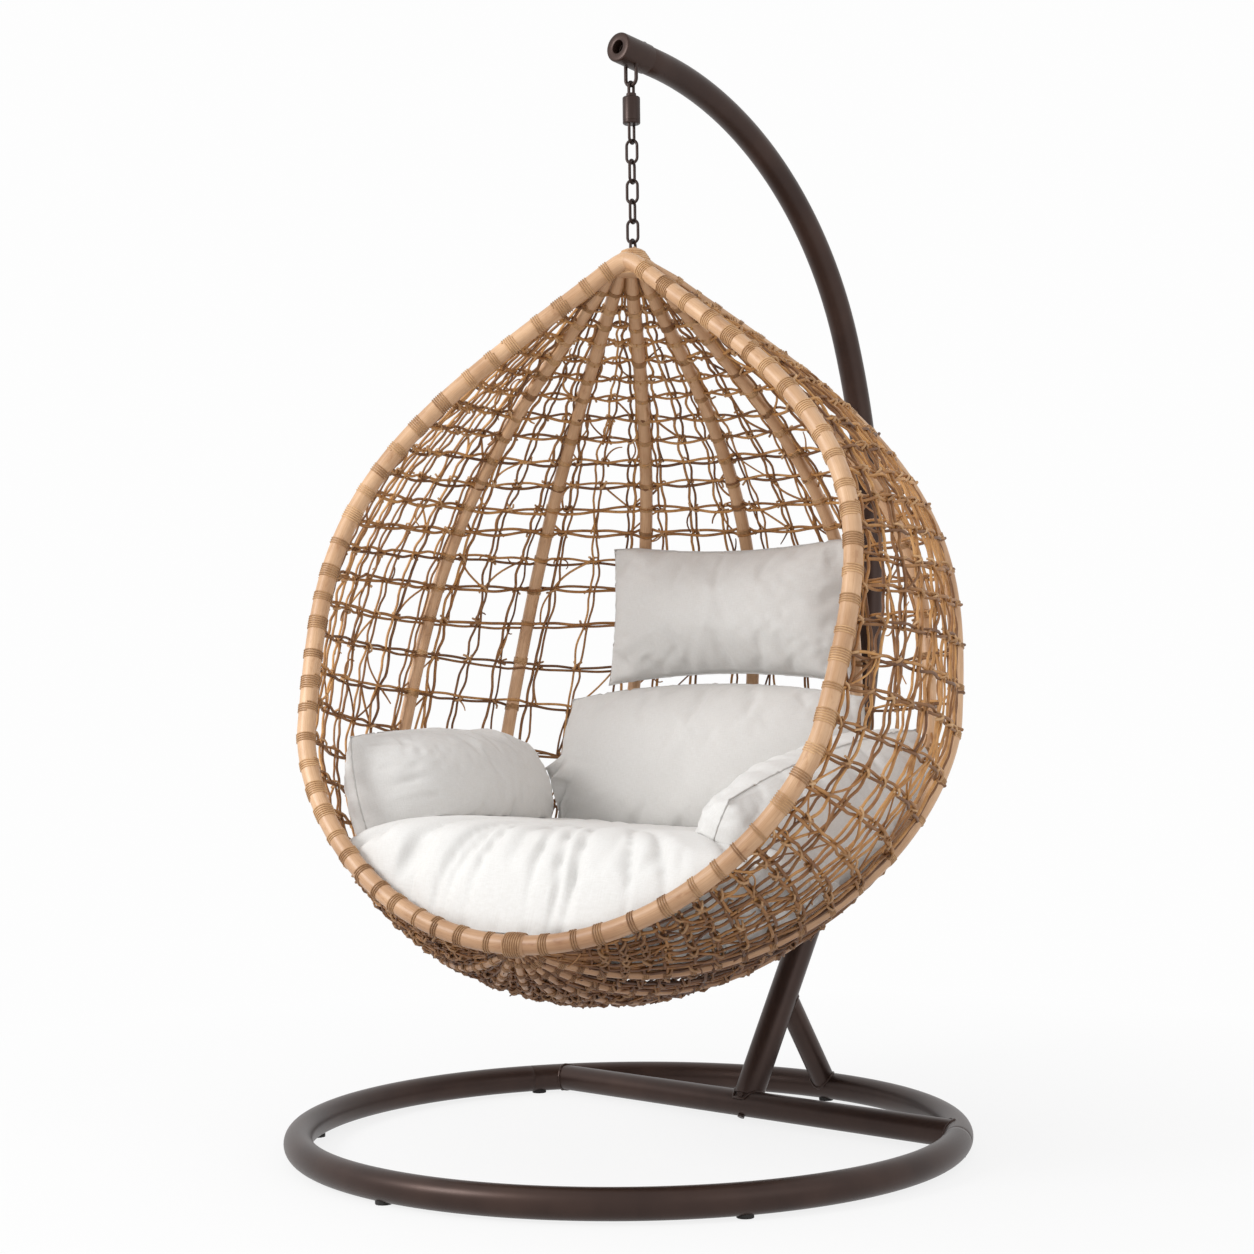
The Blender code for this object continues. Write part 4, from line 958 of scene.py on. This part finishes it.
def add_loose_strands():
    strands = Strands("loose_strands")
    steps = np.linspace(0.0, 1.0, 8)
    for _ in range(SLANTING_STRANDS):
        n, r = rng.randrange(len(stakes) - 1), rng.randrange(4, len(rows) - 1)
        if abs(stakes[n + 1] - stakes[n]) > RIB_SPREAD * 0.7:
            continue
        first, last = stakes[n], stakes[n + 1]
        if rng.random() < 0.5:
            first, last = last, first
        if rng.random() < 0.4:
            last = first + (last - first) * 0.15
        sides = first + (last - first) * steps
        start, end = float(row_along(r, first)), float(row_along(r + 1, last))
        alongs = start + (end - start) * steps
        bow = np.sin(steps * math.pi) * rng.uniform(-0.011, 0.011)
        lift = np.sin(steps * math.pi) * rng.uniform(-0.005, 0.006) + rng.uniform(-0.002, 0.003)
        strands.add(on_basket(sides + bow / side_size(sides, alongs), alongs, lift),
                    STAKE_RADIUS * rng.uniform(0.6, 0.95))
    for _ in range(CURLED_ENDS):
        side, r = stakes[rng.randrange(len(stakes))], rng.randrange(4, len(rows))
        along = float(row_along(r, side))
        reach = rng.uniform(0.018, 0.052) / len(steps)
        turns = rng.uniform(0.0, math.tau) + rng.uniform(-2.6, 2.6) * steps ** 1.4
        across = np.cumsum(np.cos(turns)) * reach / float(side_size(side, along))
        down = np.cumsum(np.sin(turns)) * reach / float(along_size(side, along))
        lift = rng.choice((-1.0, 1.0, 1.0)) * (0.002 + steps ** 1.5 * rng.uniform(0.0, 0.009))
        sides = np.clip(side + across, -math.pi / 2, math.pi / 2)
        strands.add(on_basket(sides, along + down, lift),
                    STAKE_RADIUS * np.linspace(1.0, 0.55, len(steps)) * rng.uniform(0.7, 1.0))
    strands.finish(weave_cane, "woven_cane")


binding_cane = strand_cane("binding_cane", (0.380, 0.205, 0.088), (0.540, 0.320, 0.150),
                           (0.690, 0.440, 0.230))
add_knots()
add_loose_strands()


# ---- bindings of the ribs and the rim ----
# Bands of fine cane wound round the canes: tight ones on each rib at every row, and looser
# ones all the way round the rim, with more turns towards the apex.
WIRE = 0.0012                # radius of the fine cane
WIRE_PITCH = 2.25            # of its turns, in radii
RIM_PITCH = 3.3              # of the looser turns round the rim


def wind(strands, line, rod_radii, start, turns, wire, reference, steps=12, pitch=WIRE_PITCH):
    """Turns of thin cane side by side round a rod, from a distance along it."""
    run = run_along(line)
    turn = np.linspace(0.0, turns, max(3, round(turns * steps)) + 1)
    marks = np.clip(start + turn * wire * pitch, 0.0, run[-1])
    slopes = np.gradient(line, run, axis=0)
    centre = np.stack([np.interp(marks, run, line[:, n]) for n in range(3)], axis=1)
    ahead = np.stack([np.interp(marks, run, slopes[:, n]) for n in range(3)], axis=1)
    ahead /= np.linalg.norm(ahead, axis=1, keepdims=True)
    side = np.cross(ahead, np.array(reference))
    side /= np.linalg.norm(side, axis=1, keepdims=True)
    up = np.cross(side, ahead)
    angle = (turn * math.tau + rng.uniform(0.0, math.tau))[:, None]
    out = (np.interp(marks, run, rod_radii) + wire * 0.60)[:, None]
    strands.add(centre + (side * np.cos(angle) + up * np.sin(angle)) * out, wire)


bindings = Strands("rib_bindings")
for side, (line, sizes) in zip(rib_sides, rib_lines):
    length = run_along(line)[-1]
    passed = run_along(on_basket(side, rib_alongs))
    for r in range(len(rows)):
        along = float(row_along(r, side))
        if not RIB_END * 2 < along < math.pi - RIB_END * 2:
            continue
        turns = rng.choice((3, 4, 4, 5))
        start = np.interp(along, rib_alongs, passed) + rng.uniform(-0.004, 0.004) - turns * WIRE
        if 0.0 < start < length - 0.02:
            wind(bindings, line, sizes, start, turns, WIRE, rib_across(side))
bindings.finish(binding_cane, "tan_cane")

bindings = Strands("rim_bindings")
rim_loop = np.vstack([rim_points, rim_points[:2]])
rim_length = run_along(rim_loop)[-1]
place = 0.03
while place < rim_length - 0.03:
    low = min(place, rim_length - place) / (rim_length / 2)
    choices = (2, 3, 3, 4) if low > 0.72 else (4, 5, 6, 7) if low < 0.3 else (3, 4, 4, 6)
    turns = rng.choice(choices)
    wind(bindings, rim_loop, np.full(len(rim_loop), RIM_ROD), place, turns, WIRE,
         to_row(BACKWARDS), 16, RIM_PITCH)
    place += rng.uniform(0.030, 0.048) + turns * WIRE * 2
bindings.finish(binding_cane, "tan_cane")


# ---- wound bundles at the apex and the foot ----
# The ends of the ribs are gathered under tight turns of fine cane: a pear-shaped bundle
# inside the rim's point, and a short band round the rim at its lowest place.
HUB_RADIUS = 0.034
HUB_WIRE = 0.0017
FOOT_BAND_HALF = 0.018


def wound_bundle(name, foot, top, profile, node_name, first, last):
    """A turned core of cane with fine cane wound closely round it."""
    axis = (top - foot).normalized()
    length = (top - foot).length
    bm = bmesh.new()
    lathe(bm, foot, axis, Y_AXIS, [(d * length, r * HUB_RADIUS) for d, r in profile])
    add_piece(name + "_core", bm, cane, "basket", "tan_cane", node_name)
    places = np.linspace(0.0, 1.0, 40)
    line = np.array([foot + axis * length * d for d in places])
    sizes = np.interp(places, [d for d, _ in profile], [r * HUB_RADIUS for _, r in profile])
    strands = Strands(name + "_binding")
    turns = (last - first) * length / (HUB_WIRE * WIRE_PITCH)
    wind(strands, line, sizes - HUB_WIRE * 0.6, first * length, turns, HUB_WIRE, Y_AXIS, 20)
    strands.finish(binding_cane, "tan_cane")


low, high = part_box("apex_hub")
middle = (low + high) / 2
wound_bundle("apex_bundle", Vector((middle.x, middle.y, low.z)),
             Vector((middle.x, middle.y, high.z)),
             ((0.0, 0.0), (0.001, 0.72), (0.04, 0.80), (0.35, 0.90), (0.62, 0.82), (0.84, 0.62),
              (0.95, 0.50), (0.999, 0.34), (1.0, 0.0)), "apex_hub", 0.04, 0.92)
foot_middle = Vector(rim_points[len(rim_points) // 2])
foot_reach = to_row(X_AXIS) * FOOT_BAND_HALF
wound_bundle("foot_bundle", foot_middle - foot_reach, foot_middle + foot_reach,
             ((0.0, 0.0), (0.001, 0.45), (0.1, 0.52), (0.35, 0.54), (0.65, 0.54), (0.9, 0.52),
              (0.999, 0.45), (1.0, 0.0)), "foot_hub", 0.06, 0.94)


# ---- cushions ----
# Loose cushions of washed linen over soft filling, each sewn from two panels with one seam:
# a deep seat pad, a bolster on each side, a back cushion and a head pillow with drawn-out
# corners. They are blown up as cloth, creased, and settled into the basket and each other.
INSIDE_BASKET = 0.0135       # cushions stay this far under the basket's surface
CLEAR_OF_RIM = 0.017         # and this far behind the rim's plane
CUSHION_GAP = 0.0015         # between cushions that rest on each other
PANEL_STEP = 0.008           # between a panel's points
SEAM_RADIUS = 0.0014
SEAM_HOLD = 0.9              # how firmly the seam keeps its place as the cloth fills
CLOTH_SLACK = 0.05
CLOTH_STEPS = 20
CREASE_WIDTH = 0.16
FLAT_EDGE = 0.012            # creases fade out this near the seam
FINE_WRINKLE = 0.0010
MOST_PUSH = 0.08             # furthest that one pass moves a point back into the basket
NEAR_CUSHION = 0.11          # cushions further away than this are no obstacle
laid = []                    # finished cushions, which later ones rest against

# plain weave of slubby threads, with tones that drift over the cushion
linen_weave, given, result = effect(
    "linen_weave", {"UV": "Vector", "Vector": "Vector", "Light": "Color", "Shade": "Color"},
    {"Color": "Color", "Normal": "Vector"})
threads = [stretched_noise(linen_weave, given["UV"], scale, 3.0, 0.7)
           for scale in ((90.0, 900.0, 1.0), (900.0, 90.0, 1.0))]
both = node(linen_weave, "ShaderNodeMath", {0: threads[0], 1: threads[1]}, operation="ADD")
both = spread(linen_weave, both.outputs[0], 0.0, 2.0)
base = mixed(linen_weave, noise_value(linen_weave, given["Vector"], 5.0), given["Light"],
             given["Shade"])
slubs = spread(linen_weave, both, 0.38, 0.60)
put_out(linen_weave, result,
        Color=darkened(linen_weave, base, slubs, (0.90, 0.89, 0.875, 1.0), 0.8),
        Normal=bump(linen_weave, both, 0.0006))


def linen(name, light, shade):
    made, tree, shader, place = new_material(name, Roughness=0.92, Sheen_Weight=0.25,
                                             Sheen_Roughness=0.5)
    woven = placed(tree, linen_weave, UV=place["UV"], Vector=place["Object"],
                   Light=(*light, 1.0), Shade=(*shade, 1.0))
    feed(tree, shader, Base_Color=woven["Color"], Normal=woven["Normal"])
    return made


def upright(azimuth, lean, tilt=0.0):
    """Turn that stands a flat cushion on edge, facing the middle from an azimuth."""
    return (Matrix.Rotation(math.radians(-azimuth), 4, "Z")
            @ Matrix.Rotation(math.radians(lean), 4, "X")
            @ Matrix.Rotation(math.radians(90), 4, "X")
            @ Matrix.Rotation(math.radians(tilt), 4, "Z"))


def sewn_panels(name, half, rounding, crown, drop):
    """Two crowned panels sewn along their edge, which is dropped by a share of the thickness.

    Returns the mesh and its seam's vertices in order. UVs are metres on each panel.
    """
    bm = bmesh.new()
    uv = bm.loops.layers.uv.new("UVMap")
    across, along = (round(2 * size / PANEL_STEP) for size in half[:2])
    for side in (1.0, -1.0):
        panel = bmesh.ops.create_grid(bm, x_segments=across, y_segments=along, size=1.0)["verts"]
        for face in {face for vert in panel for face in vert.link_faces}:
            for loop in face.loops:
                loop[uv].uv = (loop.vert.co.x * half[0] + side, loop.vert.co.y * half[1])
            if side < 0.0:
                face.normal_flip()
        for vert in panel:
            u, v = vert.co.x, vert.co.y
            inner = max(0.0, (1.0 - abs(u) ** crown) * (1.0 - abs(v) ** crown))
            if max(abs(u), abs(v)) > 0.9999:
                inner = 0.0
            vert.co = (half[0] * u * math.sqrt(1.0 - rounding[0] * v * v / 2),
                       half[1] * v * math.sqrt(1.0 - rounding[1] * u * u / 2),
                       half[2] * (side * math.sqrt(inner) * (1.0 + side * drop) - drop))
    edge_verts = [vert for vert in bm.verts if vert.is_boundary]
    bmesh.ops.remove_doubles(bm, verts=edge_verts, dist=1e-5)
    bm.verts.index_update()
    seam = [vert for vert in bm.verts if abs(vert.co.z + drop * half[2]) < 1e-6]
    seam.sort(key=lambda vert: math.atan2(vert.co.y / half[1], vert.co.x / half[0]))
    order = [vert.index for vert in seam]
    mesh = bpy.data.meshes.new(name)
    bm.to_mesh(mesh)
    bm.free()
    return mesh, order


def places_of(mesh):
    found = np.empty(len(mesh.vertices) * 3)
    mesh.vertices.foreach_get("co", found)
    return found.reshape(-1, 3)


def inflated(mesh, seam, pressure, limit):
    """Places of the mesh's points once it is blown up as cloth, none moved past `limit`."""
    start = places_of(mesh)
    made = bpy.data.objects.new("inflating", mesh.copy())
    scene.collection.objects.link(made)
    made.vertex_groups.new(name="seam").add(seam, SEAM_HOLD, "REPLACE")
    cloth = made.modifiers.new("Cloth", "CLOTH")
    settings = cloth.settings
    settings.use_pressure = True
    settings.uniform_pressure_force = pressure
    settings.effector_weights.gravity = 0.0
    settings.vertex_group_mass = "seam"
    settings.shrink_min = -CLOTH_SLACK
    settings.mass = 0.35
    settings.quality = 6
    settings.tension_stiffness = settings.compression_stiffness = 12.0
    settings.bending_stiffness = 0.6
    cloth.collision_settings.use_self_collision = False
    cloth.collision_settings.use_collision = False
    for step in range(CLOTH_STEPS):
        scene.frame_set(step + 1)
    graph = bpy.context.evaluated_depsgraph_get()
    shift = places_of(made.evaluated_get(graph).to_mesh()) - start
    bpy.data.objects.remove(made)
    scene.frame_set(1)
    size = np.linalg.norm(shift, axis=1, keepdims=True)
    return start + shift * np.minimum(1.0, limit / np.maximum(size, 1e-9))


def creased(mesh, points, seam, half, depth, reach, count, dents, seed):
    """Gathers that run in from the seam, and soft dents over the panels."""
    mesh.vertices.foreach_set("co", points.ravel())
    mesh.update()
    outwards = np.empty(len(points) * 3)
    mesh.vertex_normals.foreach_get("vector", outwards)
    outwards = outwards.reshape(-1, 3)
    moved = points.copy()
    for n, p in enumerate(points):
        u, v = p[0] / half[0], p[1] / half[1]
        near = max(0.0, (1.0 - max(abs(u), abs(v))) * min(half[:2]))
        angle = math.atan2(v, u)
        fold = abs(noise.noise(Vector((math.cos(angle) * count, math.sin(angle) * count,
                                       seed + near * 2.5))))
        valley = max(0.0, 1.0 - fold / CREASE_WIDTH)
        gather = (fold * 1.2 - 0.2 - valley * valley) * math.exp(-near / reach)
        dent = noise.noise(Vector((p[0] * 6.0, p[1] * 6.0, seed + p[2] * 3.0)))
        fine = noise.noise(Vector((p[0] * 19.0 + seed, p[1] * 19.0, p[2] * 9.0)))
        fade = min(1.0, near / FLAT_EDGE)
        moved[n] += outwards[n] * fade * ((gather + dent * dents) * depth + fine * FINE_WRINKLE)
    moved[seam] = points[seam]
    return moved


def slopes_of(points, step=1e-4):
    """Gradient of `outside` at each point."""
    return np.stack([(outside(points + step * axis) - outside(points - step * axis)) / (2 * step)
                     for axis in np.eye(3)], axis=1)


def settled(points):
    """Points kept inside the basket, behind the rim's plane and out of earlier cushions."""
    for _ in range(3):
        slopes = slopes_of(points)
        size = np.maximum(np.linalg.norm(slopes, axis=1, keepdims=True), 1e-6)
        depth = -outside(points) / size[:, 0]
        short = np.clip(INSIDE_BASKET - depth, 0.0, MOST_PUSH)
        points = points - slopes / size * short[:, None]
        behind = (points - np.array(RIM_FOOT)) @ np.array(BACKWARDS)
        ahead = np.clip(CLEAR_OF_RIM - behind, 0.0, None)
        points = points + np.array(BACKWARDS) * ahead[:, None]
    for tree in laid:
        for n, p in enumerate(points):
            near, normal, _, _ = tree.find_nearest(Vector(p), NEAR_CUSHION)
            if near is not None and (Vector(p) - near).dot(normal) < CUSHION_GAP:
                points[n] = near + normal * CUSHION_GAP
    return points


def add_cushion(name, node_name, half, centre, turn, rounding, folds, crown=2.4, drop=0.0,
                pressure=4.0, limit=0.024):
    mesh, seam = sewn_panels(name, half, rounding, crown, drop)
    points = inflated(mesh, seam, pressure, limit)
    points = creased(mesh, points, seam, half, *folds, len(laid) * 5.7)
    placing = np.array(Matrix.Translation(centre) @ turn)
    points = settled(points @ placing[:3, :3].T + placing[:3, 3])
    mesh.vertices.foreach_set("co", points.ravel())
    mesh.update()
    bm = bmesh.new()
    bm.from_mesh(mesh)
    laid.append(BVHTree.FromBMesh(bm))
    bmesh.ops.transform(bm, matrix=basket_frame, verts=bm.verts)
    bm.verts.ensure_lookup_table()
    line = np.array([bm.verts[n].co[:] for n in seam + seam[:1]])
    crease = bm.edges.layers.float.new("crease_edge")
    on_seam = set(seam)
    for edge in bm.edges:
        if edge.verts[0].index in on_seam and edge.verts[1].index in on_seam:
            edge[crease] = 1.0
    bm.to_mesh(mesh)
    bm.free()
    made = show(name, mesh, cushion_linen, "basket", "off_white_linen", node_name)
    rounder = made.modifiers.new("Subdivision", "SUBSURF")
    rounder.levels = rounder.render_levels = 1
    thread = Strands(name + "_seam")
    thread.add(line, SEAM_RADIUS)
    thread.finish(seam_linen, "off_white_linen")


cushion_linen = linen("cushion_linen", (0.775, 0.768, 0.750), (0.735, 0.728, 0.712))
seam_linen = linen("seam_linen", (0.64, 0.63, 0.61), (0.56, 0.55, 0.53))
finish_nodes("off_white_linen", cushion_linen)
add_cushion("seat_pad", "seat_cushion", (0.420, 0.384, 0.096), Vector((0.0, -0.046, 0.168)),
            Matrix.Rotation(math.radians(2.5), 4, "Y")
            @ Matrix.Rotation(math.radians(-4.0), 4, "X"), (0.16, 0.18),
            (0.024, 0.14, 8.0, 0.14), crown=7.5, drop=0.60, pressure=2.5, limit=0.012)
add_cushion("left_bolster_pad", "left_bolster", (0.278, 0.127, 0.092),
            Vector((-0.358, 0.026, 0.322)), upright(-89, -16, -1.5), (0.30, 0.42),
            (0.008, 0.06, 7.0, 0.16), drop=0.35)
add_cushion("right_bolster_pad", "right_bolster", (0.273, 0.125, 0.097),
            Vector((0.330, -0.032, 0.288)), upright(104, -20, -12), (0.40, 0.66),
            (0.009, 0.06, 7.0, 0.16))
add_cushion("back_pad", "back_cushion", (0.297, 0.168, 0.101), Vector((-0.016, 0.345, 0.345)),
            upright(0, -10), (0.12, 0.60), (0.004, 0.05, 8.0, 0.22))
add_cushion("head_pad", "head_pillow", (0.234, 0.114, 0.065), Vector((-0.006, 0.425, 0.644)),
            upright(0, -6), (-0.14, -0.72), (0.007, 0.06, 7.0, 0.12))


# ---- studio floor, light and camera ----
# A plain white floor that keeps the chair's soft shadow, a white surround that lights the
# chair less than it shows, a large soft lamp and a weaker one, and the photograph's camera.
FLOOR_SIZE = 14.0
SHADOW_REACH = 0.6           # the floor keeps its shadow out to this distance
SHADOW_END = 1.9             # and is plain white from this one on
SHADOW_COVER = 0.84          # share of plain white over the shadow under the chair
LIT_MIDDLE = Vector((0.0, 0.0, 0.8))
CAMERA_SPOT = Vector((2.5748, -2.9294, 0.7687))
CAMERA_HEADING = math.radians(42)
CAMERA_PITCH = 0.02533
CAMERA_ROLL = 0.01123
CAMERA_LENS = 65.765
CAMERA_SENSOR = 36.0


def seen_directly(tree):
    """1 for what the camera sees directly, in a mirror or through glass, 0 for other light."""
    rays = node(tree, "ShaderNodeLightPath").outputs
    either = node(tree, "ShaderNodeMath", {0: rays["Is Camera Ray"], 1: rays["Is Glossy Ray"]},
                  operation="MAXIMUM").outputs[0]
    return node(tree, "ShaderNodeMath", {0: either, 1: rays["Is Transmission Ray"]},
                operation="MAXIMUM").outputs[0]


def floor_white():
    made, tree, shader, place = new_material("studio_floor", Roughness=0.7)
    shader.inputs["Specular IOR Level"].default_value = 0.2
    tone = placed(tree, soft_tone, Vector=place["Object"], Scale=0.6,
                  Dark=(0.80, 0.80, 0.80, 1.0), Light=(0.82, 0.82, 0.82, 1.0))
    feed(tree, shader, Base_Color=tone["Color"])
    away = node(tree, "ShaderNodeVectorMath", {0: place["Object"]}, operation="LENGTH")
    share = spread(tree, away.outputs["Value"], SHADOW_REACH, SHADOW_END, SHADOW_COVER, 1.0)
    shown = node(tree, "ShaderNodeMath", {0: share, 1: seen_directly(tree)},
                 operation="MULTIPLY").outputs[0]
    glow = node(tree, "ShaderNodeEmission", {"Color": (0.985, 0.985, 0.985, 1.0)})
    blend = node(tree, "ShaderNodeMixShader", {0: shown, 1: shader.outputs[0],
                                               2: glow.outputs[0]})
    tree.links.new(blend.outputs[0], tree.nodes["Material Output"].inputs["Surface"])
    return made


bm = bmesh.new()
bmesh.ops.create_grid(bm, x_segments=1, y_segments=1, size=FLOOR_SIZE)
mesh = bpy.data.meshes.new("studio_floor")
bm.to_mesh(mesh)
bm.free()
mesh.materials.append(floor_white())
studio_floor = bpy.data.objects.new("studio_floor", mesh)
scene.collection.objects.link(studio_floor)

world = bpy.data.worlds.new("studio")
world.use_nodes = True
tree = world.node_tree
shade = mixed(tree, seen_directly(tree), (0.85, 0.85, 0.855, 1.0), (0.985, 0.985, 0.985, 1.0))
tree.links.new(shade, tree.nodes["Background"].inputs["Color"])
scene.world = world
for name, spot, size, power in (("key", Vector((-1.3, -3.4, 2.5)), 1.3, 84.0),
                                ("fill", Vector((3.6, -0.4, 2.0)), 2.4, 10.0)):
    lamp = bpy.data.lights.new(name, "AREA")
    lamp.shape = "DISK"
    lamp.size = size
    lamp.energy = power
    made = bpy.data.objects.new(name, lamp)
    made.location = spot
    made.rotation_euler = (LIT_MIDDLE - spot).to_track_quat("-Z", "Y").to_euler()
    scene.collection.objects.link(made)

level_right = Vector((math.cos(CAMERA_HEADING), math.sin(CAMERA_HEADING), 0.0))
ahead = Vector((-math.sin(CAMERA_HEADING) * math.cos(CAMERA_PITCH),
                math.cos(CAMERA_HEADING) * math.cos(CAMERA_PITCH), math.sin(CAMERA_PITCH)))
level_up = level_right.cross(ahead)
right = level_right * math.cos(CAMERA_ROLL) - level_up * math.sin(CAMERA_ROLL)
up = level_up * math.cos(CAMERA_ROLL) + level_right * math.sin(CAMERA_ROLL)
lens = bpy.data.cameras.new("camera")
lens.sensor_width = CAMERA_SENSOR
lens.lens = CAMERA_LENS
camera = bpy.data.objects.new("camera", lens)
camera.matrix_world = (Matrix.Translation(CAMERA_SPOT)
                       @ Matrix((right, up, -ahead)).transposed().to_4x4())
scene.collection.objects.link(camera)
scene.camera = camera
scene.view_settings.view_transform = "Standard"

bpy.context.view_layer.update()
